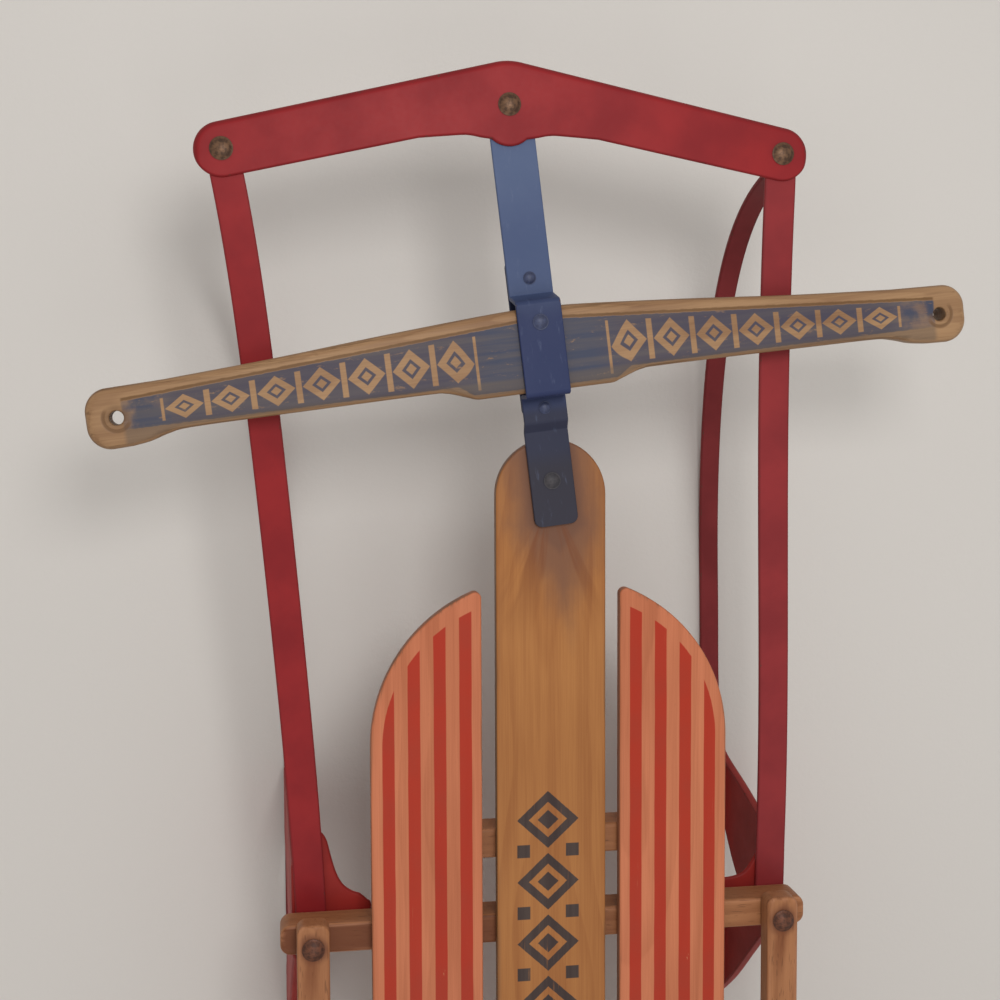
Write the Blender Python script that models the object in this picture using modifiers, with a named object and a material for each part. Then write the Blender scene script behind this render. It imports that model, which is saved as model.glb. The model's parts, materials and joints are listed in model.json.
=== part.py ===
"""Steerable wooden sled on sprung steel runners.

Metres, +Z up, +Y towards the front, +X to the rider's right.  The steering is modelled
turned to the left, with both brace straps and both runner fronts flexed.  The origin lies
on the ground below the middle of the whole sled as it stands: the turned steering bar
reaches further to the left, so the sled's own centre line runs a little right of it.
"""

from math import acos, asin, cos, degrees, pi, radians, sin, tan

import bmesh
import bpy
from mathutils import Matrix, Vector

# Overall layout; all places below are measured from the sled's centre line
CENTRE_LINE_X = 0.0094
PIVOT_Y = 0.331
FRONT_BEAM_Y = PIVOT_Y - 0.312
REAR_BEAM_Y = -0.461
DECK_REAR_Y = -0.560
RUNNER_REAR_Y = -0.600
GAP = 0.0003

# Heights
DECK_TOP = 0.179
BOARD_THICK = 0.009
BEAM_TOP = DECK_TOP - BOARD_THICK - GAP
BEAM_HEIGHT = 0.0245
BEAM_BOTTOM = BEAM_TOP - BEAM_HEIGHT
RAIL_BOTTOM = BEAM_TOP + GAP
RAIL_THICK = 0.016
RAIL_TOP = RAIL_BOTTOM + RAIL_THICK

# Deck boards
BOARD_WIDTH = 0.076
BOARD_GAP = 0.010
SIDE_BOARD_X = BOARD_WIDTH + BOARD_GAP
CENTRE_NOSE_Y = PIVOT_Y - 0.010
SIDE_TIP_Y = PIVOT_Y - 0.075
SIDE_TIP_RADIUS = 0.0045
SIDE_CURVE_RADIUS = 0.113
BOARD_CORNER = 0.012
BOARD_EDGE = 0.0016

# Crossbeams, cleats and rails
BEAM_WIDTH = 0.0205
BEAM_HALF = 0.186
BEAM_CORNER = 0.007
WOOD_EDGE = 0.0022
CLEAT_OFFSET = 0.060
CLEAT_HALF = 0.121
RAIL_X = 0.164
RAIL_WIDTH = 0.022
RAIL_FRONT_Y = FRONT_BEAM_Y + 0.016
RAIL_REAR_Y = DECK_REAR_Y - 0.012
RAIL_CORNER = 0.006

# Steel straps that brace the bumper, clamped under the front crossbeam
BRACE_WIDTH = 0.0215
BRACE_THICK = 0.003
BRACE_TAIL = 0.014
BRACE_REAR_Z = BEAM_BOTTOM - GAP - BRACE_THICK / 2
BRACE_BEND_START = 0.040
RIGHT_BRACE_BOW = 0.0055
BRACE_STEPS = 16

# Bumper crosspiece
BUMPER_HALF = 0.187
BUMPER_BOW = 0.0304
BUMPER_THICK = 0.0022
BUMPER_UNDER = 0.188
BUMPER_LOBE = 0.0180
BUMPER_CENTRE_FRONT = 0.029
BUMPER_CENTRE_LOBE = 0.0175
BUMPER_LIP = 0.007
STRAP_TOP_MID = BUMPER_UNDER - GAP - BRACE_THICK / 2

# Runners
RUNNER_X = 0.174
RUNNER_WIDTH = 0.0155
RUNNER_THICK = 0.0035
NOSE_ROOT_Y = FRONT_BEAM_Y + 0.093
NOSE_CURVE_LENGTH = 0.3085
NOSE_CURVE_HEIGHT = 0.208
NOSE_TAB_MID = STRAP_TOP_MID - BRACE_THICK / 2 - GAP - RUNNER_THICK / 2
NOSE_TAB_REACH = 0.0125
NOSE_BEND = 0.006
NOSE_STEPS = 18
SOCKET_SETBACK = 0.0035
RUNNER_CURL_RADIUS = 0.036

# Knees, the pressed steel legs
KNEE_THICK = 0.0024
KNEE_TOP_X = 0.1765
KNEE_FOOT_X = RUNNER_X + RUNNER_WIDTH / 2 - 0.0006
KNEE_RIM = 0.008
KNEE_FOLD = 0.0022
KNEE_FLANGE_IN = 0.122
FRONT_KNEE_TOP = BRACE_REAR_Z - BRACE_THICK / 2 - GAP - KNEE_THICK / 2
REAR_KNEE_TOP = BEAM_BOTTOM - GAP - KNEE_THICK / 2
FRONT_FOOT = 0.066
REAR_FOOT = -0.122
FOOT_TAB = 0.0135

# Steering bar and its steel strap
STEER_ANGLE = radians(6.8)
STEER_REACH = 0.2503
BAR_THICK = 0.019
BAR_HOLE_X = 0.276
BAR_HOLE_Y = 0.079
BAR_LOBE = 0.0195
BAR_CORNER = 0.0150
BAR_ROUND = 0.0055
ROPE_HOLE = 0.0045
STEER_WIDTH = 0.030
STEER_THICK = 0.003
STEER_TAIL = 0.0305
STEER_CORNER = 0.005
BAR_BOTTOM = STRAP_TOP_MID - STEER_THICK / 2
BAR_TOP = BAR_BOTTOM + BAR_THICK
BAR_BOLT_Y = 0.1065
FRONT_STRAP_RIVET_Y = 0.1365
REAR_STRAP_RIVET_Y = 0.0498
LOWER_STRAP_REAR = 0.0455
LOWER_STRAP_FRONT = 0.1490

# Fastener sizes; slack holes let the flexing straps swing about their rivets
RIVET_SHANK = 0.0030
RIVET_HEAD = 0.0076
SLACK_HOLE = 0.0050
CENTRE_SLACK_HOLE = 0.0056
BOLT_SHANK = 0.0030
BOLT_HEAD = 0.0076
NAIL_SHANK = 0.0011
NAIL_HEAD = 0.0030
NAIL_HEAD_HEIGHT = 0.0009
NAIL_SINK = 0.0011
NAIL_LENGTH = 0.0232
KNEE_RIVET_SHANK = 0.0022
HEAD_RIM = 0.0004
SMALL_DOME = 0.0025
NUT_RADIUS = 0.0060
NUT_HEIGHT = 0.0050
WASHER_RADIUS = 0.0095
WASHER_HEIGHT = 0.0012
CLEARANCE = 0.0003
STRAP_EDGE = 0.0006

# Colours as red, green, blue
RED = (0.33, 0.020, 0.022)
DARK_RED = (0.24, 0.015, 0.018)
BLUE = (0.045, 0.085, 0.23)
VARNISHED = (0.36, 0.155, 0.055)
PALE_WOOD = (0.48, 0.25, 0.11)
BEAM_WOOD = (0.32, 0.145, 0.055)
BAR_WOOD = (0.38, 0.20, 0.09)
BRONZE = (0.13, 0.075, 0.035)
ZINC = (0.40, 0.40, 0.41)


def clear_scene():
    """Remove every object of the scene."""
    for item in list(bpy.data.objects):
        bpy.data.objects.remove(item, do_unlink=True)


def collection(name):
    """Make a collection linked to the scene."""
    group = bpy.data.collections.new(name)
    bpy.context.scene.collection.children.link(group)
    return group


def material(name, colour, roughness, metallic):
    """Make a plain Principled material."""
    mat = bpy.data.materials.new(name)
    mat.use_nodes = True
    shader = mat.node_tree.nodes["Principled BSDF"]
    shader.inputs["Base Color"].default_value = (*colour, 1.0)
    shader.inputs["Roughness"].default_value = roughness
    shader.inputs["Metallic"].default_value = metallic
    return mat


clear_scene()
PARTS = collection("wooden_sled")
CUTTERS = collection("cutters")
CENTRE_LINE = bpy.data.objects.new("centre_line", None)
CENTRE_LINE.location.x = CENTRE_LINE_X
PARTS.objects.link(CENTRE_LINE)


def add_part(name, mesh, colour, roughness=0.5, metallic=0.0):
    """Link a mesh as a named part with a material of its own."""
    part = bpy.data.objects.new(name, mesh)
    part.parent = CENTRE_LINE
    PARTS.objects.link(part)
    finish = material(name + "_finish", colour, roughness, metallic)
    if not mesh.materials:
        mesh.materials.append(finish)
    part.material_slots[0].link = "OBJECT"
    part.material_slots[0].material = finish
    return part


def empty(name, location, turn=0.0):
    """Make an empty at a joint's axis, turned about +Z."""
    item = bpy.data.objects.new(name, None)
    item.parent = CENTRE_LINE
    item.location = location
    item.rotation_euler = (0.0, 0.0, turn)
    PARTS.objects.link(item)
    return item


def bevel(part, width, segments=1, angle=35.0):
    """Round every edge sharper than the angle."""
    mod = part.modifiers.new("edge_round", "BEVEL")
    mod.width = width
    mod.segments = segments
    mod.limit_method = "ANGLE"
    mod.angle_limit = radians(angle)
    mod.harden_normals = False
    return mod


def solidify(part, thickness, offset=0.0):
    """Give a sheet its thickness."""
    mod = part.modifiers.new("sheet_thickness", "SOLIDIFY")
    mod.thickness = thickness
    mod.offset = offset
    mod.use_even_offset = True
    return mod


def arc(cx, cy, radius, start, end, steps):
    """Points on an arc, angles in degrees, both ends included."""
    points = []
    for i in range(steps + 1):
        a = radians(start + (end - start) * i / steps)
        points.append((cx + radius * cos(a), cy + radius * sin(a)))
    return points


def rounded_rectangle(half_x, half_y, corner, steps=4):
    """Outline of a rectangle with round corners, anticlockwise."""
    points = []
    for cx, cy, start in (
        (half_x - corner, half_y - corner, 0),
        (corner - half_x, half_y - corner, 90),
        (corner - half_x, corner - half_y, 180),
        (half_x - corner, corner - half_y, 270),
    ):
        points += arc(cx, cy, corner, start, start + 90, steps)
    return points


def outline_mesh(name, outline, thickness, holes=()):
    """Fill a flat outline with a 2D curve and give it a thickness above z = 0."""
    curve = bpy.data.curves.new(name, "CURVE")
    curve.dimensions = "2D"
    curve.fill_mode = "BOTH"
    curve.extrude = thickness / 2
    for ring in [outline, *holes]:
        spline = curve.splines.new("POLY")
        spline.points.add(len(ring) - 1)
        for point, (x, y) in zip(spline.points, ring):
            point.co = (x, y, 0.0, 1.0)
        spline.use_cyclic_u = True
    carrier = bpy.data.objects.new(name + "_curve", curve)
    bpy.context.scene.collection.objects.link(carrier)
    graph = bpy.context.evaluated_depsgraph_get()
    mesh = bpy.data.meshes.new_from_object(carrier.evaluated_get(graph))
    bpy.data.objects.remove(carrier, do_unlink=True)
    bpy.data.curves.remove(curve)
    mesh.name = name
    sheet = bmesh.new()
    sheet.from_mesh(mesh)
    bmesh.ops.remove_doubles(sheet, verts=sheet.verts, dist=0.00001)
    bmesh.ops.translate(sheet, verts=sheet.verts, vec=(0.0, 0.0, thickness / 2))
    bmesh.ops.dissolve_limit(sheet, angle_limit=0.001, verts=sheet.verts, edges=sheet.edges)
    bmesh.ops.recalc_face_normals(sheet, faces=sheet.faces)
    sheet.to_mesh(mesh)
    sheet.free()
    return mesh


def cut_holes(part, name, holes, segments=16):
    """Cut round upright holes, each (x, y, low z, high z, radius) in the part's axes."""
    cutter_mesh = bpy.data.meshes.new(name)
    drill = bmesh.new()
    for x, y, low, high, radius in holes:
        place = Matrix.Translation((x, y, (low + high) / 2))
        bmesh.ops.create_cone(
            drill, cap_ends=True, segments=segments, radius1=radius, radius2=radius,
            depth=high - low, matrix=place)
    drill.to_mesh(cutter_mesh)
    drill.free()
    cutter = bpy.data.objects.new(name, cutter_mesh)
    CUTTERS.objects.link(cutter)
    cutter.parent = part
    cutter.hide_render = True
    cutter.display_type = "WIRE"
    mod = part.modifiers.new("holes", "BOOLEAN")
    mod.operation = "DIFFERENCE"
    mod.solver = "EXACT"
    mod.object = cutter
    return cutter


def turned_mesh(name, profile):
    """Profile of (radius, z) points for a turned part, from the top of its axis to the bottom."""
    mesh = bpy.data.meshes.new(name)
    points = [(r, 0.0, z) for r, z in profile]
    edges = [(i, i + 1) for i in range(len(profile) - 1)]
    mesh.from_pydata(points, edges, [])
    return mesh


def add_turned(name, mesh, colour, roughness, metallic, segments=12):
    """Add a turned part with its Screw modifier."""
    part = add_part(name, mesh, colour, roughness, metallic)
    mod = part.modifiers.new("turn", "SCREW")
    mod.steps = segments
    mod.render_steps = segments
    mod.use_merge_vertices = True
    mod.merge_threshold = 0.00005
    mod.use_smooth_shade = False
    return part


def round_tip(path, width, steps=3):
    """Carry a strip past its last point with a half-round end; gives its path and widths."""
    last = Vector(path[-1])
    ahead = (last - Vector(path[-2])).normalized()
    points = list(path)
    widths = [width] * len(path)
    for i in range(1, steps + 1):
        a = radians(78.0 * i / steps)
        points.append(tuple(last + ahead * (width / 2 * sin(a))))
        widths.append(width * cos(a))
    return points, widths


def round_both(path, width):
    """Half-round ends before a strip's first point and past its last."""
    front, front_widths = round_tip(path, width)
    rear, rear_widths = round_tip(path[::-1], width)
    added = len(rear) - len(path)
    return rear[:-added - 1:-1] + front, rear_widths[:-added - 1:-1] + front_widths


def round_tail(path, widths, corner, steps=3):
    """Round both corners of a strip's first end."""
    start = Vector(path[0])
    ahead = (Vector(path[1]) - start).normalized()
    points = []
    narrow = []
    for i in range(steps + 1):
        a = pi / 2 * i / steps
        points.append(tuple(start + ahead * corner * (1.0 - cos(a))))
        narrow.append(widths[0] - 2 * corner * (1.0 - sin(a)))
    return points + list(path[1:]), narrow + list(widths[1:])


def ribbon_mesh(name, path, widths, heading=None):
    """Sweep a flat strip along (x, y, z) points, level across its width."""
    mesh = bpy.data.meshes.new(name)
    strip = bmesh.new()
    last = len(path) - 1
    pairs = []
    for i, point in enumerate(path):
        ahead = Vector(path[min(i + 1, last)]) - Vector(path[max(i - 1, 0)])
        if heading is None:
            side = Vector((ahead.y, -ahead.x, 0.0))
        else:
            side = Vector((heading[1], -heading[0], 0.0))
        side = side.normalized() * widths[i] / 2
        left = strip.verts.new(Vector(point) - side)
        right = strip.verts.new(Vector(point) + side)
        pairs.append((left, right))
    for (a, b), (c, d) in zip(pairs, pairs[1:]):
        strip.faces.new((a, b, d, c))
    strip.to_mesh(mesh)
    strip.free()
    return mesh


def rounded_path(corners, radius, steps=3):
    """Replace the inner corners of a (y, z) line by short arcs."""
    points = [corners[0]]
    for before, corner, after in zip(corners, corners[1:], corners[2:]):
        p = Vector(corner)
        back = (Vector(before) - p).normalized()
        ahead = (Vector(after) - p).normalized()
        half = back.angle(ahead) / 2
        reach = radius / tan(half)
        centre = p + (back + ahead).normalized() * radius / sin(half)
        first = p + back * reach
        last = p + ahead * reach
        for i in range(steps + 1):
            spot = first.lerp(last, i / steps) - centre
            points.append(tuple(centre + spot.normalized() * radius))
    points.append(corners[-1])
    return points


def flex(t):
    """Shape of a clamped strip pushed sideways at its tip, from 0 to 1."""
    return (3.0 * t * t - t * t * t) / 2.0


def turn(point, angle):
    """Turn a plan point about the origin."""
    x, y = point
    return (x * cos(angle) - y * sin(angle), x * sin(angle) + y * cos(angle))


def linkage():
    """Plan positions of the left, centre and right bumper rivets, and the bumper's turn.

    The bumper hangs on the steering strap's end and turns until both brace straps,
    which keep their length, reach its end rivets.
    """
    reach = turn((0.0, STEER_REACH), STEER_ANGLE)
    centre = Vector((reach[0], PIVOT_Y + reach[1]))
    tilt = 0.0
    for _ in range(30):
        left = centre + Vector(turn((-BUMPER_HALF, -BUMPER_BOW), tilt))
        right = centre + Vector(turn((BUMPER_HALF, -BUMPER_BOW), tilt))
        reach_left = (left - Vector((-RAIL_X, FRONT_BEAM_Y))).length
        reach_right = (right - Vector((RAIL_X, FRONT_BEAM_Y))).length
        tilt -= (reach_right - reach_left) / (2 * BUMPER_HALF) * 0.5
    return left, centre, right, tilt


LEFT_RIVET, CENTRE_RIVET, RIGHT_RIVET, BUMPER_TURN = linkage()
SHIFT = CENTRE_RIVET.x


def make_boards():
    """Three deck boards, the centre one with a round front and a hole for the pivot bolt."""
    half = BOARD_WIDTH / 2
    rear = rounded_tail(half)
    length = CENTRE_NOSE_Y
    outline = rear + arc(0.0, length, half, 0, 180, 18)
    mesh = outline_mesh("centre_board", outline, BOARD_THICK)
    board = add_part("centre_board", mesh, VARNISHED, 0.35)
    board.location = (0.0, 0.0, DECK_TOP - BOARD_THICK)
    bevel(board, BOARD_EDGE, 2)
    cut_holes(board, "centre_board_bolt_hole", [(0.0, PIVOT_Y, -0.01, 0.02, BOLT_SHANK + CLEARANCE)], 14)
    sink_nails(board, 0.0)
    for side, label in ((-1, "left"), (1, "right")):
        make_side_board(side, label)


def sink_nails(board, board_x):
    """Holes and shallow head recesses for the nails that pass through a board."""
    shanks = []
    heads = []
    for x, y in nail_places():
        if abs(x - board_x) < BOARD_WIDTH / 2:
            shanks.append((x - board_x, y, -0.01, 0.02, NAIL_SHANK + CLEARANCE))
            heads.append((x - board_x, y, BOARD_THICK - NAIL_SINK - GAP, 0.02, NAIL_HEAD + CLEARANCE))
    cut_holes(board, board.name + "_nail_holes", shanks, 8)
    cut_holes(board, board.name + "_head_recesses", heads, 10)


def rounded_tail(half):
    """Rear end of a board: a straight edge with round corners, left to right."""
    low = DECK_REAR_Y + BOARD_CORNER
    left = arc(BOARD_CORNER - half, low, BOARD_CORNER, 180, 270, 5)
    right = arc(half - BOARD_CORNER, low, BOARD_CORNER, 270, 360, 5)
    return left + right


def make_side_board(side, label):
    """Outer deck board: its front is one long arc that ends in a small round tip."""
    half = BOARD_WIDTH / 2
    centre_x = half - SIDE_CURVE_RADIUS
    tip_x = SIDE_TIP_RADIUS - half
    reach = SIDE_CURVE_RADIUS - SIDE_TIP_RADIUS
    sweep = acos((tip_x - centre_x) / reach)
    rise = reach * sin(sweep)
    base = SIDE_TIP_Y - SIDE_TIP_RADIUS - rise
    curve = arc(centre_x, base, SIDE_CURVE_RADIUS, 0, degrees(sweep), 16)
    tip = arc(tip_x, base + rise, SIDE_TIP_RADIUS, degrees(sweep), 180, 5)
    outline = rounded_tail(half) + curve + tip[1:]
    if side < 0:
        outline = [(-x, y) for x, y in reversed(outline)]
    name = label + "_deck_board"
    board = add_part(name, outline_mesh(name, outline, BOARD_THICK), PALE_WOOD, 0.4)
    board.location = (side * SIDE_BOARD_X, 0.0, DECK_TOP - BOARD_THICK)
    bevel(board, BOARD_EDGE, 2)
    sink_nails(board, side * SIDE_BOARD_X)


def nail_places():
    """Plan positions of the nails that hold the boards to the two cleats."""
    places = []
    for y in (FRONT_BEAM_Y + CLEAT_OFFSET, REAR_BEAM_Y - CLEAT_OFFSET):
        for x in (-0.083, -0.022, 0.022, 0.083):
            places.append((x, y))
    return places


def make_beams():
    """Crossbeams under boards and rails, and the shorter cleats under the boards only."""
    for label, y in (("front", FRONT_BEAM_Y), ("rear", REAR_BEAM_Y)):
        outline = rounded_rectangle(BEAM_HALF, BEAM_WIDTH / 2, BEAM_CORNER)
        name = label + "_crossbeam"
        beam = add_part(name, outline_mesh(name, outline, BEAM_HEIGHT), BEAM_WOOD, 0.55)
        beam.location = (0.0, y, BEAM_BOTTOM)
        bevel(beam, WOOD_EDGE, 2)
        holes = [(side * RAIL_X, 0.0, -0.01, 0.04, BOLT_SHANK + CLEARANCE) for side in (-1, 1)]
        cut_holes(beam, name + "_holes", holes, 12)
    for label, y in (("front", FRONT_BEAM_Y + CLEAT_OFFSET), ("rear", REAR_BEAM_Y - CLEAT_OFFSET)):
        outline = rounded_rectangle(CLEAT_HALF, BEAM_WIDTH / 2, BEAM_CORNER)
        name = label + "_cleat"
        cleat = add_part(name, outline_mesh(name, outline, BEAM_HEIGHT), BEAM_WOOD, 0.55)
        cleat.location = (0.0, y, BEAM_BOTTOM)
        bevel(cleat, WOOD_EDGE, 2)
        holes = []
        for x, nail_y in nail_places():
            if abs(nail_y - y) < 0.001:
                holes.append((x, 0.0, 0.004, 0.04, NAIL_SHANK + CLEARANCE))
        cut_holes(cleat, name + "_holes", holes, 8)


def make_rails():
    """Hand rails bolted on the ends of the crossbeams."""
    length = RAIL_FRONT_Y - RAIL_REAR_Y
    middle = (RAIL_FRONT_Y + RAIL_REAR_Y) / 2
    for side, label in ((-1, "left"), (1, "right")):
        outline = rounded_rectangle(RAIL_WIDTH / 2, length / 2, RAIL_CORNER)
        name = label + "_side_rail"
        rail = add_part(name, outline_mesh(name, outline, RAIL_THICK), VARNISHED, 0.45)
        rail.location = (side * RAIL_X, middle, RAIL_BOTTOM)
        bevel(rail, WOOD_EDGE, 2)
        holes = []
        for y in (FRONT_BEAM_Y, REAR_BEAM_Y):
            holes.append((0.0, y - middle, -0.01, 0.03, BOLT_SHANK + CLEARANCE))
        cut_holes(rail, name + "_holes", holes, 12)


def brace_points(side, tip):
    """Centre line of a brace strap: straight splay plus the flex of the turned steering.

    The right strap has also kept a slight bow, greatest two thirds of the way along.
    """
    neutral_x = tip.x - SHIFT
    length = tip.y - FRONT_BEAM_Y
    points = []
    marks = [-BRACE_TAIL / length, 0.0]
    marks += [i / BRACE_STEPS for i in range(1, BRACE_STEPS + 1)]
    for t in marks:
        x = side * RAIL_X + (neutral_x - side * RAIL_X) * t
        if t > 0.0:
            x += SHIFT * flex(t)
        if t > 0.0 and side > 0:
            x -= RIGHT_BRACE_BOW * 6.75 * t * t * (1.0 - t)
        y = FRONT_BEAM_Y + length * t
        points.append((x, y, brace_height(length * t, length)))
    return points


def brace_height(distance, length):
    """Height of the strap's middle: level under the beam, rising to the bumper, level there."""
    rise_end = length - 0.022
    if distance <= BRACE_BEND_START:
        return BRACE_REAR_Z
    if distance >= rise_end:
        return STRAP_TOP_MID
    u = (distance - BRACE_BEND_START) / (rise_end - BRACE_BEND_START)
    ease = u * u * (3.0 - 2.0 * u)
    return BRACE_REAR_Z + (STRAP_TOP_MID - BRACE_REAR_Z) * (0.35 * ease + 0.65 * u)


def make_braces():
    """Two steel straps from the front crossbeam to the bumper's end rivets."""
    for side, label, tip in ((-1, "left", LEFT_RIVET), (1, "right", RIGHT_RIVET)):
        name = label + "_brace_strap"
        axis = empty(name + "_axis", (side * RAIL_X, FRONT_BEAM_Y, 0.0))
        path = [(x - side * RAIL_X, y - FRONT_BEAM_Y, z) for x, y, z in brace_points(side, tip)]
        strap = add_part(name, ribbon_mesh(name, *round_tip(path, BRACE_WIDTH)), RED, 0.4, 0.1)
        strap.parent = axis
        solidify(strap, BRACE_THICK)
        bevel(strap, STRAP_EDGE)
        tip_hole = RIVET_SHANK + CLEARANCE if side < 0 else SLACK_HOLE
        reach = tip - Vector((side * RAIL_X, FRONT_BEAM_Y))
        holes = [
            (0.0, 0.0, BRACE_REAR_Z - 0.01, BRACE_REAR_Z + 0.01, BOLT_SHANK + CLEARANCE),
            (reach.x, reach.y, STRAP_TOP_MID - 0.01, STRAP_TOP_MID + 0.01, tip_hole),
        ]
        cut_holes(strap, name + "_holes", holes, 14)


def nose_points(side, tip):
    """Centre line of a runner front: level, up a long quarter ellipse, then a level tab."""
    neutral_x = tip.x - SHIFT
    sole_mid = RUNNER_THICK / 2
    top = 1.0 - (NOSE_TAB_MID - NOSE_BEND - sole_mid) / NOSE_CURVE_HEIGHT
    end_angle = pi / 2 - asin(top)
    curve_y = tip.y - NOSE_TAB_REACH - NOSE_CURVE_LENGTH * sin(end_angle)
    run = [(NOSE_ROOT_Y, sole_mid), ((NOSE_ROOT_Y + curve_y) / 2, sole_mid)]
    for i in range(NOSE_STEPS + 1):
        a = end_angle * i / NOSE_STEPS
        y = curve_y + NOSE_CURVE_LENGTH * sin(a)
        z = sole_mid + NOSE_CURVE_HEIGHT * (1.0 - cos(a))
        run.append((y, z))
    bend_y = run[-1][0]
    run.append((bend_y + 0.0010, NOSE_TAB_MID - NOSE_BEND * 0.35))
    run.append((bend_y + 0.0030, NOSE_TAB_MID - NOSE_BEND * 0.06))
    run.append((bend_y + 0.0050, NOSE_TAB_MID))
    run.append((tip.y, NOSE_TAB_MID))
    root = run[0][0]
    points = []
    for y, z in run:
        t = min(max((y - root) / (tip.y - root), 0.0), 1.0)
        x = side * RUNNER_X + (neutral_x - side * RUNNER_X) * t + SHIFT * flex(t)
        points.append((x, y, z))
    return points


def make_noses():
    """Sprung fronts of the two runners, from a half-round root up to the bumper's end rivets."""
    for side, label, tip in ((-1, "left", LEFT_RIVET), (1, "right", RIGHT_RIVET)):
        name = label + "_runner_nose"
        axis = empty(name + "_axis", (side * RUNNER_X, NOSE_ROOT_Y, 0.0))
        path = [(x - side * RUNNER_X, y - NOSE_ROOT_Y, z) for x, y, z in nose_points(side, tip)]
        mesh = ribbon_mesh(name, *round_both(path, RUNNER_WIDTH), (0.0, 1.0))
        nose = add_part(name, mesh, DARK_RED, 0.45, 0.2)
        nose.parent = axis
        solidify(nose, RUNNER_THICK)
        bevel(nose, STRAP_EDGE)
        reach = tip - Vector((side * RUNNER_X, NOSE_ROOT_Y))
        hole = (reach.x, reach.y, NOSE_TAB_MID - 0.008, NOSE_TAB_MID + 0.008, SLACK_HOLE)
        cut_holes(nose, name + "_hole", [hole], 14)


def make_runners():
    """Fixed lengths of the two runners, hollowed in front round the nose's root, curled up behind."""
    socket = RUNNER_WIDTH / 2 + GAP
    for side, label in ((-1, "left"), (1, "right")):
        name = label + "_runner"
        mid = RUNNER_THICK / 2
        curl_y = RUNNER_REAR_Y + RUNNER_CURL_RADIUS
        path = [(0.0, NOSE_ROOT_Y - SOCKET_SETBACK, mid), (0.0, curl_y, mid)]
        for i in range(1, 10):
            a = radians(150.0 * i / 9)
            y = curl_y - RUNNER_CURL_RADIUS * sin(a)
            path.append((0.0, y, mid + RUNNER_CURL_RADIUS * (1.0 - cos(a))))
        mesh = ribbon_mesh(name, *round_tip(path, RUNNER_WIDTH), (0.0, 1.0))
        runner = add_part(name, mesh, DARK_RED, 0.45, 0.2)
        runner.location = (side * RUNNER_X, 0.0, 0.0)
        solidify(runner, RUNNER_THICK)
        bevel(runner, STRAP_EDGE)
        holes = [(0.0, y, -0.01, 0.01, KNEE_RIVET_SHANK + CLEARANCE) for y in knee_rivet_places()]
        cut_holes(runner, name + "_holes", holes, 10)
        cut_holes(runner, name + "_socket", [(0.0, NOSE_ROOT_Y, -0.01, 0.01, socket)], 28)


def knee_rivet_places():
    """Positions along the runner of the rivets through the knees' feet."""
    return (
        FRONT_BEAM_Y + FRONT_FOOT,
        FRONT_BEAM_Y + REAR_FOOT,
        REAR_BEAM_Y - FRONT_FOOT,
        REAR_BEAM_Y - REAR_FOOT,
    )


def make_knee(name, side, facing, beam_y, top):
    """Pressed steel leg: a leaning plate with two feet, rims, foot tabs and a top flange."""
    foot = RUNNER_THICK + GAP + KNEE_THICK / 2
    run = KNEE_TOP_X - KNEE_FOOT_X

    def spot(y, z):
        u = (z - foot) / (top - foot)
        return (KNEE_FOOT_X + run * u, y, z)

    front = [(0.046, top), (0.052, top - 0.016), (0.068, 0.070), (0.080, 0.026), (0.084, foot)]
    rear = [
        (-0.140, foot), (-0.132, 0.020), (-0.104, 0.052), (-0.066, 0.092), (-0.040, top - 0.020),
        (-0.030, top),
    ]
    arch = [
        (0.048, foot), (0.040, 0.013), (0.012, 0.048), (-0.008, 0.072), (-0.022, 0.084),
        (-0.038, 0.083), (-0.056, 0.066), (-0.092, 0.024), (-0.104, foot),
    ]
    flange = [
        (0.160, 0.048), (0.152, 0.042), (0.147, 0.034), (0.143, 0.0275), (0.137, 0.0235),
        (0.130, 0.0225), (0.1245, 0.018), (KNEE_FLANGE_IN, 0.0115), (KNEE_FLANGE_IN, -0.0115),
        (0.1245, -0.018), (0.130, -0.0225), (0.140, -0.025), (0.150, -0.028), (0.160, -0.032),
    ]
    sheet = bmesh.new()

    def vert(point):
        return sheet.verts.new(point)

    front_verts = [vert(spot(y, z)) for y, z in front]
    arch_verts = [vert(spot(y, z)) for y, z in arch]
    rear_verts = [vert(spot(y, z)) for y, z in rear]
    sheet.faces.new(front_verts + arch_verts + rear_verts)
    flange_verts = [vert((x, y, top)) for x, y in flange]
    sheet.faces.new([front_verts[0]] + [rear_verts[-1]] + flange_verts[::-1])
    for chain in (front_verts[1:-1], rear_verts[1:-1]):
        inner = [vert((v.co.x - KNEE_RIM, v.co.y, v.co.z)) for v in chain]
        for (a, b), (c, d) in zip(zip(chain, chain[1:]), zip(inner, inner[1:])):
            sheet.faces.new((b, a, c, d))
    for a, b in ((front_verts[-1], arch_verts[0]), (arch_verts[-1], rear_verts[0])):
        c = vert((a.co.x - FOOT_TAB, a.co.y - 0.003, a.co.z))
        d = vert((b.co.x - FOOT_TAB, b.co.y + 0.003, b.co.z))
        sheet.faces.new((b, a, c, d))
    for v in sheet.verts:
        v.co.x *= side
        v.co.y *= facing
    bmesh.ops.recalc_face_normals(sheet, faces=sheet.faces)
    mesh = bpy.data.meshes.new(name)
    sheet.to_mesh(mesh)
    sheet.free()
    knee = add_part(name, mesh, RED, 0.42, 0.1)
    knee.location = (0.0, beam_y, 0.0)
    bevel(knee, KNEE_FOLD, 2, 50.0).name = "folds"
    solidify(knee, KNEE_THICK)
    holes = [(side * RAIL_X, 0.0, top - 0.01, top + 0.01, BOLT_SHANK + CLEARANCE)]
    for y in (FRONT_FOOT, REAR_FOOT):
        holes.append((side * RUNNER_X, facing * y, 0.0, 0.014, KNEE_RIVET_SHANK + CLEARANCE))
    cut_holes(knee, name + "_holes", holes, 10)


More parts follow.
